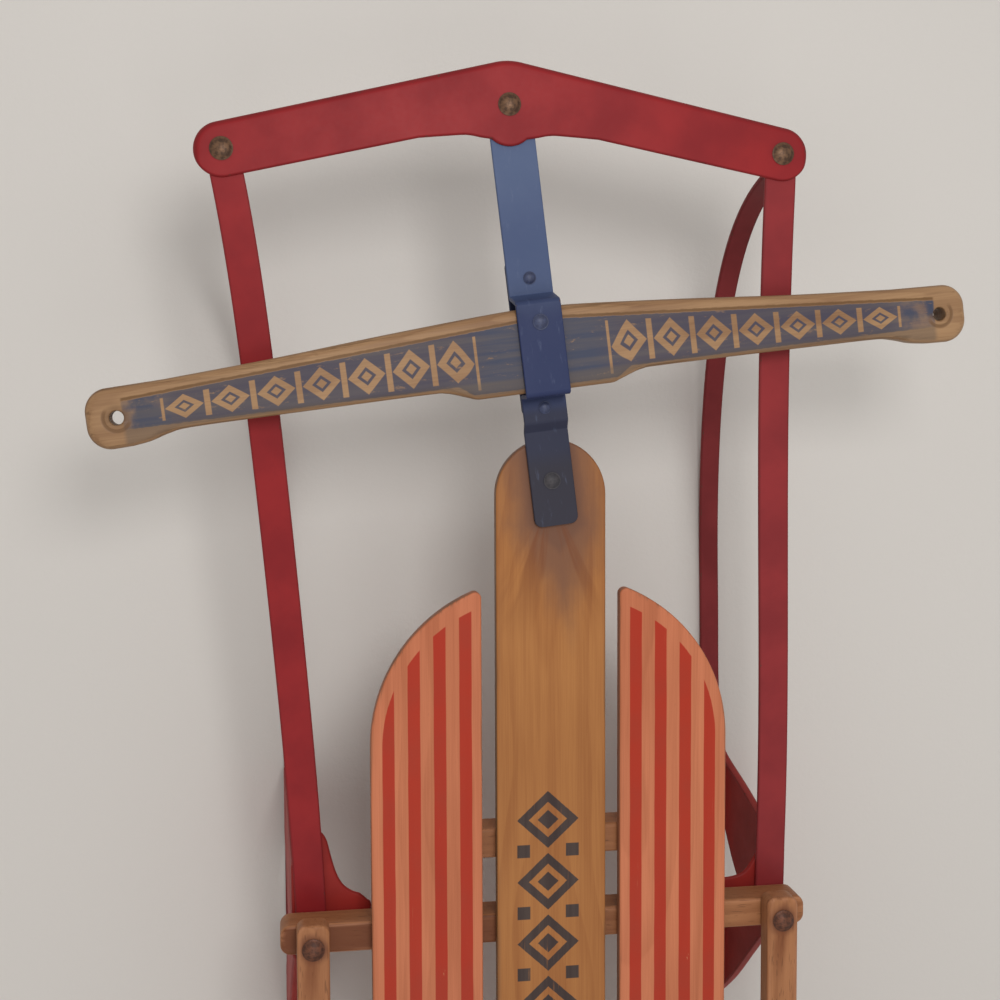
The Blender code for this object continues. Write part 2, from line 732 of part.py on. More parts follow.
def make_knees():
    """Four knees, the rear pair facing the other way."""
    for side, label in ((-1, "left"), (1, "right")):
        make_knee("front_" + label + "_knee", side, 1, FRONT_BEAM_Y, FRONT_KNEE_TOP)
        make_knee("rear_" + label + "_knee", side, -1, REAR_BEAM_Y, REAR_KNEE_TOP)


def bumper_outline():
    """Half outline of the bumper about its centre rivet, right side, front to rear."""
    lobe_x = BUMPER_HALF
    lobe_y = -BUMPER_BOW
    front = arc(0.0, BUMPER_CENTRE_FRONT - 0.040, 0.040, 90, 77, 2)
    end = arc(lobe_x, lobe_y, BUMPER_LOBE, 78, -100, 12)
    waist = [(0.034, -0.0205)]
    lobe = arc(0.0, -0.0095, BUMPER_CENTRE_LOBE, -35, -90, 4)
    return front, end, waist, lobe


def make_bumper():
    """Stamped crosspiece: a chevron plate with round ends and its front and rear edges folded down."""
    front, end, waist, lobe = bumper_outline()
    right = front + end + waist + lobe
    left = [(-x, y) for x, y in reversed(right)][1:-1]
    outline = (right + left)[::-1]
    holes = [arc(x, y, RIVET_SHANK + CLEARANCE, 0, 337.5, 15) for x, y in bumper_rivets()]
    mesh = outline_mesh("bumper_crosspiece", outline, 0.0, holes)
    sheet = bmesh.new()
    sheet.from_mesh(mesh)
    folded = []
    for edge in sheet.edges:
        if edge.is_boundary and folds_down(edge):
            folded.append(edge)
    out = bmesh.ops.extrude_edge_only(sheet, edges=folded)
    lower = [v for v in out["geom"] if isinstance(v, bmesh.types.BMVert)]
    bmesh.ops.translate(sheet, verts=lower, vec=(0.0, 0.0, -BUMPER_LIP))
    bmesh.ops.recalc_face_normals(sheet, faces=sheet.faces)
    top = max(sheet.faces, key=lambda face: face.calc_area())
    if top.normal.z < 0:
        bmesh.ops.reverse_faces(sheet, faces=sheet.faces)
    sheet.to_mesh(mesh)
    sheet.free()
    axis = empty("bumper_axis", (LEFT_RIVET.x, LEFT_RIVET.y, BUMPER_UNDER + BUMPER_THICK), BUMPER_TURN)
    bumper = add_part("bumper_crosspiece", mesh, RED, 0.35, 0.1)
    bumper.location = (BUMPER_HALF, BUMPER_BOW, 0.0)
    bumper.parent = axis
    bevel(bumper, 0.0030, 3, 50.0).name = "fold"
    solidify(bumper, BUMPER_THICK, -1.0)


def bumper_rivets():
    """Rivet places about the centre one."""
    return ((-BUMPER_HALF, -BUMPER_BOW), (0.0, 0.0), (BUMPER_HALF, -BUMPER_BOW))


def folds_down(edge):
    """True for the outline edges with a lip: all the front, and the rear between the straps."""
    x = sum(v.co.x for v in edge.verts) / 2
    y = sum(v.co.y for v in edge.verts) / 2
    for hole_x, hole_y in bumper_rivets():
        if (x - hole_x) ** 2 + (y - hole_y) ** 2 < 0.006 ** 2:
            return False
    ridge = -BUMPER_BOW * abs(x) / BUMPER_HALF
    return y > ridge + 0.004


def add_rivet(name, mesh, place, parent=None, colour=BRONZE):
    """Place a turned fastener."""
    part = add_turned(name, mesh, colour, 0.4, 0.7)
    part.location = place
    if parent:
        part.parent = parent
    return part


def domed_profile(head, height, shank, length, tail_head=0.0, tail_height=0.0):
    """Profile of a dome-headed fastener whose head sits on z = 0; small domes get fewer steps."""
    sphere = (head * head + height * height) / (2 * height)
    spread = asin(head / sphere)
    profile = []
    steps = 4 if height > SMALL_DOME else 2
    for i in range(steps):
        a = spread * i / steps
        profile.append((sphere * sin(a), sphere * cos(a) - sphere + height))
    profile += [(head, HEAD_RIM), (head, 0.0), (shank, 0.0), (shank, -length)]
    if tail_head:
        profile += [(tail_head, -length), (tail_head * 0.8, -length - tail_height)]
    profile.append((0.0, -length - tail_height))
    return profile


def make_bumper_rivets():
    """Three rivets through the bumper and what it carries."""
    top = BUMPER_UNDER + BUMPER_THICK + GAP
    end_stack = top - (NOSE_TAB_MID - RUNNER_THICK / 2) + GAP
    centre_stack = top - (STRAP_TOP_MID - BRACE_THICK / 2) + GAP
    tail = (0.0056, 0.0016)
    end_mesh = turned_mesh("end_rivet", domed_profile(RIVET_HEAD, 0.0032, RIVET_SHANK, end_stack, *tail))
    mid_mesh = turned_mesh("mid_rivet", domed_profile(RIVET_HEAD, 0.0032, RIVET_SHANK, centre_stack, *tail))
    for label, mesh, spot in (
        ("left", end_mesh, LEFT_RIVET),
        ("centre", mid_mesh, CENTRE_RIVET),
        ("right", end_mesh, RIGHT_RIVET),
    ):
        add_rivet(label + "_bumper_rivet", mesh, (spot.x, spot.y, top))


def bar_outline():
    """Right half of the steering bar's outline about the pivot, front to rear."""
    corner_x = BAR_HOLE_X + BAR_LOBE - BAR_CORNER
    rise = BAR_LOBE - BAR_CORNER
    end = arc(corner_x, BAR_HOLE_Y + rise, BAR_CORNER, 84, 0, 5)
    end += arc(corner_x, BAR_HOLE_Y - rise, BAR_CORNER, 0, -94, 5)
    front = [(0.0, 0.1165), (0.030, 0.1155), (0.100, 0.1105), (0.175, 0.1042), (0.245, 0.0996)]
    rear = [(0.257, 0.0616), (0.234, 0.0672), (0.150, 0.0680), (0.058, 0.0675)]
    step = arc(0.0465, 0.0725, 0.0115, -60, -90, 3)
    middle = [(0.030, 0.0610), (0.0, 0.0610)]
    return front + end + rear + step + middle


def make_steering():
    """Steering bar clamped between two steel straps that swing about the pivot bolt."""
    axis = empty("steering_axis", (0.0, PIVOT_Y, 0.0), STEER_ANGLE)
    right = bar_outline()
    left = [(-x, y) for x, y in reversed(right)][1:-1]
    outline = (right + left)[::-1]
    bar = add_part("steering_bar", outline_mesh("steering_bar", outline, BAR_THICK), BAR_WOOD, 0.45)
    bar.location = (0.0, 0.0, BAR_BOTTOM)
    bar.parent = axis
    bevel(bar, BAR_ROUND, 2)
    holes = [(side * BAR_HOLE_X, BAR_HOLE_Y, -0.01, 0.04, ROPE_HOLE) for side in (-1, 1)]
    holes.append((0.0, BAR_BOLT_Y, -0.01, 0.04, BOLT_SHANK + CLEARANCE))
    cut_holes(bar, "steering_bar_holes", holes)
    make_upper_strap(axis)
    make_lower_strap(axis)
    make_steering_fasteners(axis)


def make_upper_strap(axis):
    """Upper strap: along the board, up over the bar and forward to the bumper."""
    low = DECK_TOP + GAP + STEER_THICK / 2
    level = STRAP_TOP_MID
    high = BAR_TOP + GAP + STEER_THICK / 2
    corners = [
        (-STEER_TAIL, low), (0.0345, low), (0.0405, level), (0.0584, level), (0.0592, high),
        (0.1195, high), (0.1245, level), (STEER_REACH, level),
    ]
    path = [(0.0, y, z) for y, z in rounded_path(corners, 0.0022, 2)]
    path, widths = round_tip(path, STEER_WIDTH)
    path, widths = round_tail(path, widths, STEER_CORNER)
    mesh = ribbon_mesh("steering_strap", path, widths, (0.0, 1.0))
    strap = add_part("steering_strap", mesh, BLUE, 0.45, 0.1)
    strap.parent = axis
    solidify(strap, STEER_THICK)
    bevel(strap, STRAP_EDGE)
    shank = BOLT_SHANK + CLEARANCE
    holes = [
        (0.0, 0.0, low - 0.006, low + 0.006, shank),
        (0.0, REAR_STRAP_RIVET_Y, level - 0.006, level + 0.006, shank),
        (0.0, BAR_BOLT_Y, high - 0.006, high + 0.006, shank),
        (0.0, FRONT_STRAP_RIVET_Y, level - 0.006, level + 0.006, shank),
        (0.0, STEER_REACH, level - 0.006, level + 0.006, CENTRE_SLACK_HOLE),
    ]
    cut_holes(strap, "steering_strap_holes", holes, 14)


def make_lower_strap(axis):
    """Lower strap under the bar, riveted to the upper one ahead of it and behind it."""
    top = STRAP_TOP_MID - STEER_THICK / 2 - GAP
    outline = rounded_rectangle(STEER_WIDTH / 2, (LOWER_STRAP_FRONT - LOWER_STRAP_REAR) / 2, 0.004)
    middle = (LOWER_STRAP_FRONT + LOWER_STRAP_REAR) / 2
    name = "lower_steering_strap"
    strap = add_part(name, outline_mesh(name, outline, STEER_THICK), BLUE, 0.5, 0.1)
    strap.location = (0.0, middle, top - STEER_THICK)
    strap.parent = axis
    bevel(strap, STRAP_EDGE)
    holes = []
    for y in (REAR_STRAP_RIVET_Y, BAR_BOLT_Y, FRONT_STRAP_RIVET_Y):
        holes.append((0.0, y - middle, -0.01, 0.02, BOLT_SHANK + CLEARANCE))
    cut_holes(strap, name + "_holes", holes, 14)


def make_steering_fasteners(axis):
    """Two strap rivets, the bar bolt and the pivot bolt with its washer and nut."""
    level_top = STRAP_TOP_MID + STEER_THICK / 2 + GAP
    lower_bottom = STRAP_TOP_MID - STEER_THICK * 1.5 - GAP * 2
    stack = level_top - lower_bottom
    rivet = turned_mesh("strap_rivet", domed_profile(0.0042, 0.0016, BOLT_SHANK, stack, 0.0044, 0.0014))
    for label, y in (("rear", REAR_STRAP_RIVET_Y), ("front", FRONT_STRAP_RIVET_Y)):
        add_rivet(label + "_strap_rivet", rivet, (0.0, y, level_top), axis, BLUE)
    bar_top = BAR_TOP + GAP + STEER_THICK + GAP
    bar_stack = bar_top - lower_bottom
    bolt = turned_mesh("bar_bolt", domed_profile(0.0052, 0.0018, BOLT_SHANK, bar_stack, 0.0056, 0.0022))
    add_rivet("bar_bolt", bolt, (0.0, BAR_BOLT_Y, bar_top), axis, BLUE)
    seat = DECK_TOP + GAP + STEER_THICK + GAP
    pivot = turned_mesh("pivot_bolt", domed_profile(0.0058, 0.0020, BOLT_SHANK, 0.0230))
    add_rivet("pivot_bolt", pivot, (0.0, PIVOT_Y, seat), None, BLUE)
    washer_z = DECK_TOP - BOARD_THICK - GAP - WASHER_HEIGHT
    add_ring("pivot_washer", (0.0, PIVOT_Y, washer_z), WASHER_RADIUS, WASHER_HEIGHT, 20)
    add_ring("pivot_nut", (0.0, PIVOT_Y, washer_z - GAP - NUT_HEIGHT), NUT_RADIUS, NUT_HEIGHT, 6)


def add_ring(name, place, radius, height, sides):
    """Washer or nut: a flat ring about the bolt, standing on z = 0 at its place."""
    outer = arc(0.0, 0.0, radius, 0, 360 - 360 / sides, sides - 1)
    inner = arc(0.0, 0.0, BOLT_SHANK + CLEARANCE, 0, 330, 11)
    ring = add_part(name, outline_mesh(name, outer, height, [inner]), ZINC, 0.35, 0.9)
    ring.location = place
    return ring


def make_rail_bolts():
    """Carriage bolts through rail, crossbeam and knee, each with its nut."""
    top = RAIL_TOP + GAP
    for beam, y, knee_top in (
        ("front", FRONT_BEAM_Y, FRONT_KNEE_TOP),
        ("rear", REAR_BEAM_Y, REAR_KNEE_TOP),
    ):
        under = knee_top - KNEE_THICK / 2 - GAP
        length = top - under + NUT_HEIGHT * 1.5
        mesh = turned_mesh(beam + "_rail_bolt", domed_profile(BOLT_HEAD, 0.0036, BOLT_SHANK, length))
        for side, label in ((-1, "left"), (1, "right")):
            name = beam + "_" + label + "_rail_"
            add_rivet(name + "bolt", mesh, (side * RAIL_X, y, top))
            add_ring(name + "nut", (side * RAIL_X, y, under - NUT_HEIGHT), NUT_RADIUS, NUT_HEIGHT, 6)


def make_deck_nails():
    """Nails through the boards into the cleats, their heads just below the deck's surface."""
    profile = domed_profile(NAIL_HEAD, NAIL_HEAD_HEIGHT, NAIL_SHANK, NAIL_LENGTH)
    mesh = turned_mesh("deck_nail", profile)
    for index, (x, y) in enumerate(nail_places(), start=1):
        nail = add_turned("deck_nail_%d" % index, mesh, BRONZE, 0.5, 0.6, 8)
        nail.location = (x, y, DECK_TOP - NAIL_SINK)


def make_knee_rivets():
    """Rivets that hold the knees' feet on the runners, their tails sunk in the sole."""
    top = RUNNER_THICK + GAP + KNEE_THICK + GAP
    mesh = turned_mesh("knee_rivet", domed_profile(0.0042, 0.0018, KNEE_RIVET_SHANK, top - 0.0008))
    places = knee_rivet_places()
    for side, label in ((-1, "left"), (1, "right")):
        for index, y in enumerate(places, start=1):
            rivet = add_turned("%s_knee_rivet_%d" % (label, index), mesh, RED, 0.45, 0.3, 8)
            rivet.location = (side * RUNNER_X, y, top)


def shade():
    """Smooth shading with sharp edges kept."""
    done = set()
    for part in PARTS.objects:
        if part.type != "MESH" or part.data.name in done:
            continue
        done.add(part.data.name)
        part.data.shade_smooth()
        part.data.set_sharp_from_angle(angle=radians(32))


make_boards()
make_beams()
make_rails()
make_braces()
make_noses()
make_runners()
make_knees()
make_bumper()
make_bumper_rivets()
make_steering()
make_rail_bolts()
make_deck_nails()
make_knee_rivets()
shade()
bpy.context.view_layer.update()
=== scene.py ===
"""Looks of the wooden sled: wood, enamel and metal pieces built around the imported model."""

import json
from math import asin, atan2, cos, pi, radians, sin, tan

import bpy
from mathutils import Matrix, Vector
from mathutils.geometry import tessellate_polygon


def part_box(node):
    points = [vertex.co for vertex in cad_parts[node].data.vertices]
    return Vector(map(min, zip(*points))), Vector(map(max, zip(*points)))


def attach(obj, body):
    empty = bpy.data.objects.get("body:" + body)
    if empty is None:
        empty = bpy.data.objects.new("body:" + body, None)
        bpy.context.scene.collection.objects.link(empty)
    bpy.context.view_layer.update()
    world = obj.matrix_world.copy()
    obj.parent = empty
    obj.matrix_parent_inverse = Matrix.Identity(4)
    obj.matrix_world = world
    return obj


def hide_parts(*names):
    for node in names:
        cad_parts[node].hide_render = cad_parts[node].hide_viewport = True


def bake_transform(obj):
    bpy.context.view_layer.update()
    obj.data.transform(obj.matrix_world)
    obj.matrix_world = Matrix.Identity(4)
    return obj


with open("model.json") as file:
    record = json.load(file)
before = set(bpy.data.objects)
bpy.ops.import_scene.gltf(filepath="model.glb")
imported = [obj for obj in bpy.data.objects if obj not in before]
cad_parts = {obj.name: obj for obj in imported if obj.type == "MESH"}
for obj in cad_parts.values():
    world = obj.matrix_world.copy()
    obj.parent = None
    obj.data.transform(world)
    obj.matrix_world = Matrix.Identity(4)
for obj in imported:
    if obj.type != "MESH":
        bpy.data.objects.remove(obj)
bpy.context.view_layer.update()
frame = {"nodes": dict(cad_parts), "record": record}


SIDES = ("left", "right")


def rail_parts(kind):
    """Names of the four rail bolts or nuts."""
    return ["%s_%s_rail_%s" % (end, side, kind) for end in ("front", "rear") for side in SIDES]


def middle(node):
    """Middle of a CAD node's box."""
    low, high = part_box(node)
    return (low + high) / 2


# Bodies and places taken from the frame
BEHAVIOUR = frame["record"]["behaviour"]
BODY_OF = {node: body for body, group in BEHAVIOUR["bodies"].items() for node in group}
JOINTS = {joint["name"]: Vector(joint["pos_m"]) for joint in BEHAVIOUR["joints"]}
PIVOT = JOINTS["steering_pivot"]
MID_X = PIVOT.x
LEFT_RIVET = middle("left_bumper_rivet")
CENTRE_RIVET = middle("centre_bumper_rivet")
RIGHT_RIVET = middle("right_bumper_rivet")
SHIFT = CENTRE_RIVET.x - MID_X
STEER = atan2(-SHIFT, CENTRE_RIVET.y - PIVOT.y)
REACH = (CENTRE_RIVET - PIVOT).to_2d().length
BUMPER_TURN = atan2(RIGHT_RIVET.y - LEFT_RIVET.y, RIGHT_RIVET.x - LEFT_RIVET.x)
DECK_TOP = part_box("centre_board")[1].z

# Bumper crosspiece
BUMPER_HALF = 0.187
BUMPER_BOW = 0.0304
BUMPER_LOBE = 0.018
BUMPER_NOSE_RADIUS = 0.04
BUMPER_CENTRE_FRONT = 0.029
BUMPER_CENTRE_LOBE = 0.0175
BUMPER_SHEET = 0.0022
BUMPER_LIP = 0.007
BUMPER_FOLD = 0.0045
BUMPER_LIP_START = -0.01
BUMPER_LIP_FULL = 0.002

# Sprung straps and runners
STRAP_THICK = 0.003
BRACE_WIDTH = 0.0215
BRACE_TAIL = 0.014
BRACE_BEND_START = 0.04
BRACE_LEVEL_TIP = 0.022
BRACE_STEPS = 60
RIGHT_BRACE_FOOT = 0.0058
LEFT_BRACE_BOW = 0.0036
RIGHT_BRACE_BOW = 0.0055
RIGHT_NOSE_BOW = 0.0048
RUNNER_WIDTH = 0.0155
RUNNER_THICK = 0.0035
NOSE_CURVE_LENGTH = 0.3085
NOSE_CURVE_HEIGHT = 0.208
NOSE_TAB_REACH = 0.0125
NOSE_BEND = 0.006
NOSE_TAB = ((0.001, 0.35), (0.003, 0.06), (0.005, 0.0))
CURL_RADIUS = 0.036
CURL_SWEEP = 150.0
CURL_STEPS = 24
FLAT_STEPS = 41
RISE_STEPS = 48
BLEND_SHARE = 0.85

# Knees
KNEE_SHEET = 0.0024
KNEE_FOLD = 0.0026
KNEE_RIM = 0.0068
KNEE_TAB = 0.014
KNEE_TOP_X = 0.1776
KNEE_FOOT_X = 0.1822
KNEE_CORNER = 0.006
KNEE_FEET = ((-0.1285, 195, 270), (-0.092, 270, 352), (0.021, 190, 270), (0.0682, 270, 355))
FLANGE_OUT = 0.178
FLANGE_IN = 0.122
FLANGE_CORNER = 0.004
FLANGE_LIP = 0.003
FLANGE_FOLD = 0.0018
FLANGE_REAR = ((0.131, -0.016), (0.142, -0.0168), (0.154, -0.0173), (0.166, -0.0176))
LEFT_FLANGE = [
    (0.164, 0.06), (0.1575, 0.064), (0.153, 0.0585), (0.15, 0.047),
    (0.1463, 0.0345), (0.1418, 0.0262), (0.136, 0.0215), (0.1298, 0.019),
]
RIGHT_FLANGE = [
    (0.17, 0.043), (0.164, 0.037), (0.158, 0.027),
    (0.151, 0.0185), (0.142, 0.0155), (0.131, 0.015),
]

# Steering bar and its strap
BAR_HOLE = Vector((0.276, 0.079))
BAR_LOBE = 0.0195
BAR_CORNER = 0.015
BAR_EDGE = 0.0055
BAR_HOLE_EDGE = 0.0014
ROPE_HOLE = 0.0045
STEER_WIDTH = 0.03
STEER_TAIL = 0.0305
STEER_CORNER = 0.005
STEER_BEND = 0.0022
GAP = 0.0003

# Deck boards
SIDE_TIP_RADIUS = 0.0045
SIDE_CURVE_RADIUS = 0.113
BOARD_CORNER = 0.012
BOARD_EDGE = 0.0016
WOOD_EDGE = 0.0024
BEAM_CORNER = 0.007
RAIL_CORNER = 0.006

# Flat band kept beside a rounded edge, so that faces stay flat
EDGE_BAND = 0.0016
HOLE_BAND = 0.0006


def tone(colour):
    """Linear colour of red, green and blue given from 0 to 255 as on the screen."""
    shares = [value / 255 for value in colour]
    return tuple(c / 12.92 if c <= 0.04045 else ((c + 0.055) / 1.055) ** 2.4 for c in shares)


# Outlines

# Side, height and first angle of each quarter turn
QUARTERS = ((1, 1, 0), (-1, 1, 90), (-1, -1, 180), (1, -1, 270))


def arc(cx, cy, radius, start, end, steps):
    """Points on an arc, angles in degrees, both ends included."""
    angles = [radians(start + (end - start) * i / steps) for i in range(steps + 1)]
    return [(cx + radius * cos(a), cy + radius * sin(a)) for a in angles]


def circle(cx, cy, radius, steps=32):
    """Closed ring of a hole, clockwise."""
    return arc(cx, cy, radius, 360, 360 / steps, steps - 1)


def rounded_rectangle(half_x, half_y, corner):
    """Outline of a rectangle with round corners, anticlockwise."""
    points = []
    for sx, sy, start in QUARTERS:
        points += arc(sx * (half_x - corner), sy * (half_y - corner), corner, start, start + 90, 6)
    return points


def mirrored(right):
    """Whole outline, anticlockwise, from its right half given from front to rear."""
    left = [(-x, y) for x, y in reversed(right)][1:-1]
    return (right + left)[::-1]


def smooth_line(points, per_span=8):
    """Curve through points that keeps their tangents even."""
    knots = [Vector(p) for p in points]
    knots = [2 * knots[0] - knots[1], *knots, 2 * knots[-1] - knots[-2]]
    line = []
    for a, b, c, d in zip(knots, knots[1:], knots[2:], knots[3:]):
        for i in range(per_span):
            t = i / per_span
            line.append(tuple(0.5 * (2 * b + (c - a) * t + (2 * a - 5 * b + 4 * c - d) * t * t
                                     + (3 * b - a - 3 * c + d) * t * t * t)))
    line.append(tuple(knots[-2]))
    return line


def each(value, count):
    """A list as it is, or a single value once for each point."""
    return value if isinstance(value, list) else [value] * count


def inset(ring, distance):
    """Move a closed outline towards the material on its left by a distance, or one for each point."""
    moved = []
    count = len(ring)
    amounts = each(distance, count)
    for i in range(count):
        point = Vector(ring[i])
        d1 = (point - Vector(ring[i - 1])).normalized()
        d2 = (Vector(ring[(i + 1) % count]) - point).normalized()
        n1 = Vector((-d1.y, d1.x))
        normal = (n1 + Vector((-d2.y, d2.x))).normalized()
        moved.append(tuple(point + normal * amounts[i] / max(normal.dot(n1), 0.5)))
    return moved


# Meshes

class Shell:
    """Points, faces and float attributes of a mesh that is built from rings."""

    def __init__(self, *marks):
        self.verts = []
        self.faces = []
        self.marks = {mark: [] for mark in ("rim", *marks)}

    def stack(self, outline, rings):
        """Skin an outline's rings, each (inset, heights, rim), and return its top and bottom loops."""
        count = len(outline)
        first = len(self.verts)
        for step, heights, rim in rings:
            self.verts += [(x, y, z) for (x, y), z in zip(inset(outline, step), each(heights, count))]
            self.marks["rim"] += [rim] * count
        last = len(self.verts) - count
        for a in range(first, last, count):
            for i in range(count):
                j = (i + 1) % count
                self.faces.append((a + i, a + count + i, a + count + j, a + j))
        return range(first, first + count), range(last, last + count)

    def cap(self, loops, upward):
        """Close an outline's loop and those of its holes with triangles that face up or down."""
        indices = [i for loop in loops for i in loop]
        for triangle in tessellate_polygon([[Vector(self.verts[i]) for i in loop] for loop in loops]):
            face = [indices[i] for i in triangle]
            a, b, c = (Vector(self.verts[i]) for i in face)
            self.faces.append(tuple(face if ((b - a).cross(c - a).z > 0) == upward else face[::-1]))

    def piece(self, name, material, place=None, even=True):
        """Object of the mesh; even keeps flat faces flat beside rounded edges."""
        mesh = bpy.data.meshes.new(name)
        mesh.from_pydata(self.verts, [], self.faces)
        for key, values in self.marks.items():
            mesh.attributes.new(key, "FLOAT", "POINT").data.foreach_set("value", values)
        mesh.shade_smooth()
        mesh.set_sharp_from_angle(angle=radians(40))
        mesh.materials.append(material)
        piece = bpy.data.objects.new(name, mesh)
        bpy.context.scene.collection.objects.link(piece)
        if place is not None:
            piece.matrix_world = place
        if even:
            piece.modifiers.new("even_normals", "WEIGHTED_NORMAL").keep_sharp = True
        return piece


def edge_profile(low, high, edge, band, segments):
    """Inset, height and rim mark of each ring, from the top face round the side to the bottom."""
    upper = [(edge + band, high, 0.0)]
    for a in (pi / 2 * k / segments for k in range(segments + 1)):
        upper.append((edge * (1 - sin(a)), high - edge * (1 - cos(a)), 0.4 + 0.6 * sin(2 * a)))
    lower = [(step, low + high - z, rim) for step, z, rim in reversed(upper)]
    return upper + [(0.0, (low + high) / 2, 0.0)] + lower


def plate(name, outline, low, high, edge, material, place, holes=(), segments=4):
    """Board with rounded edges; the outline runs anticlockwise, its holes clockwise."""
    shell = Shell()
    loops = []
    sizes = [(edge, EDGE_BAND)] + [(BAR_HOLE_EDGE, HOLE_BAND)] * len(holes)
    for loop, (radius, band) in zip([outline, *holes], sizes):
        loops.append(shell.stack(loop, edge_profile(low, high, radius, band, segments)))
    tops, bottoms = zip(*loops)
    shell.cap(tops, True)
    shell.cap(bottoms, False)
    return shell.piece(name, material, place)


def pressed(outline, lips, fold, sheet):
    """Sheet with its upper face at height 0 and its edges folded down by each point's lip."""
    bare = 0.0004
    steps = 6
    folds = [min(fold, 0.0008 + lip * 0.4) for lip in lips]
    rings = [([f + 0.0022 for f in folds], 0.0, 0.0)]
    for k in range(steps + 1):
        a = pi / 2 * k / steps
        step = [f * (1 - sin(a)) for f in folds]
        drop = [-min(f, lip) * (1 - cos(a)) for f, lip in zip(folds, lips)]
        rings.append((step, drop, 0.3 + 0.7 * sin(2 * a)))
    floor = [-lip for lip in lips]
    inner = [-max(lip - bare, sheet) for lip in lips]
    under = [-sheet - 0.0006 * (lip > 2 * sheet) for lip in lips]
    rings += [
        (0.0, [bare - lip for lip in lips], 1.0), (bare, floor, 1.0), (sheet - bare, floor, 1.0),
        (sheet, inner, 0.6), (sheet + bare / 2, under, 0.0), (sheet + 0.001, -sheet, 0.0),
    ]
    shell = Shell()
    top, bottom = shell.stack(outline, rings)
    shell.cap([top], True)
    shell.cap([bottom], False)
    return shell


def strip_section(width, thick, edge):
    """Section of a flat strip: (across, up, rim) round it, anticlockwise seen from its front."""
    r = min(edge, width * 0.45)
    flat = max(width / 2 - r - EDGE_BAND, width * 0.2)
    points = []
    for sx, sy, start in QUARTERS:
        bend = arc(sx * (width / 2 - r), sy * (thick / 2 - r), r, start, start + 90, 4)
        points += [(x, y, 1.0) for x, y in bend]
        if sx == sy:
            points += [(sx * flat, sy * thick / 2, 0.0), (-sx * flat, sy * thick / 2, 0.0)]
        else:
            points += [(sx * width / 2, 0.0, 0.5)]
    return points


def sweep(name, path, widths, thick, edge, material, place=None, side=None):
    """Flat strip along a path, level across, with its marks along and across in metres."""
    points = [Vector(p) for p in path]
    last = len(points) - 1
    shell = Shell("along", "across")
    travelled = 0.0
    for i, point in enumerate(points):
        before = points[max(i - 1, 0)]
        ahead = (points[min(i + 1, last)] - before).normalized()
        right = Vector(side) if side else Vector((ahead.y, -ahead.x, 0.0)).normalized()
        up = right.cross(ahead).normalized()
        travelled += (point - before).length
        section = strip_section(widths[i], thick, edge)
        shell.verts += [tuple(point + right * across + up * height) for across, height, _ in section]
        shell.marks["along"] += [travelled] * len(section)
        shell.marks["across"] += [across for across, _, _ in section]
        shell.marks["rim"] += [rim for _, _, rim in section]
    count = len(section)
    total = len(shell.verts)
    shell.faces = [tuple(range(count)), tuple(range(total - 1, total - count - 1, -1))]
    for a in range(0, total - count, count):
        for i in range(count):
            j = (i + 1) % count
            shell.faces.append((a + j, a + i, a + count + i, a + count + j))
    return shell.piece(name, material, place)


def round_tip(path, widths, steps=9):
    """Carry a strip past its last point with a half-round end."""
    last = Vector(path[-1])
    ahead = (last - Vector(path[-2])).normalized()
    width = widths[-1]
    angles = [radians(87.0 * i / steps) for i in range(1, steps + 1)]
    points = [tuple(last + ahead * (width / 2 * sin(a))) for a in angles]
    return list(path) + points, list(widths) + [width * cos(a) for a in angles]


def round_tail(path, widths, corner, steps=6):
    """Round both corners of a strip's first end."""
    start = Vector(path[0])
    ahead = (Vector(path[1]) - start).normalized()
    angles = [pi / 2 * i / steps for i in range(steps + 1)]
    points = [tuple(start + ahead * corner * (1 - cos(a))) for a in angles]
    narrow = [widths[0] - 2 * corner * (1 - sin(a)) for a in angles]
    return points + list(path[1:]), narrow + list(widths[1:])


def rounded_path(corners, radius, steps=6):
    """Replace the inner corners of a (y, z) line by short arcs."""
    points = [corners[0]]
    for before, corner, after in zip(corners, corners[1:], corners[2:]):
        p = Vector(corner)
        back = (Vector(before) - p).normalized()
        ahead = (Vector(after) - p).normalized()
        half = back.angle(ahead) / 2
        centre = p + (back + ahead).normalized() * radius / sin(half)
        first = p + back * radius / tan(half)
        last = p + ahead * radius / tan(half)
        for i in range(steps + 1):
            spot = first.lerp(last, i / steps) - centre
            points.append(tuple(centre + spot.normalized() * radius))
    points.append(corners[-1])
    return points


def lathe(name, profile, material, place, segments=36):
    """Turned piece from (radius, height) points, from the top of its axis down to the bottom."""
    inner = profile[1:-1]
    widest = max(r for r, _ in inner)
    angles = [2 * pi * i / segments for i in range(segments)]
    shell = Shell()
    shell.verts = [(r * cos(a), r * sin(a), z) for r, z in inner for a in angles]
    shell.marks["rim"] = [r / widest for r, _ in inner for _ in angles] + [0.0, 0.0]
    top = len(shell.verts)
    low = top - segments
    shell.verts += [(0.0, 0.0, profile[0][1]), (0.0, 0.0, profile[-1][1])]
    for i in range(segments):
        j = (i + 1) % segments
        shell.faces += [(top, i, j), (top + 1, low + j, low + i)]
        shell.faces += [(a + i, a + segments + i, a + segments + j, a + j) for a in range(0, low, segments)]
    return shell.piece(name, material, Matrix.Translation(place), False)


def domed(head, height, shank, length):
    """Profile of a domed fastener whose head sits on z = 0."""
    sphere = (head * head + height * height) / (2 * height)
    angles = [asin(head / sphere) * i / 9 for i in range(9)]
    profile = [(sphere * sin(a), sphere * cos(a) - sphere + height) for a in angles]
    profile += [(head, 0.0005), (head * 0.985, 0.0001), (head * 0.95, 0.0), (shank, 0.0)]
    return profile + [(shank, -length), (0.0, -length)]


# Materials

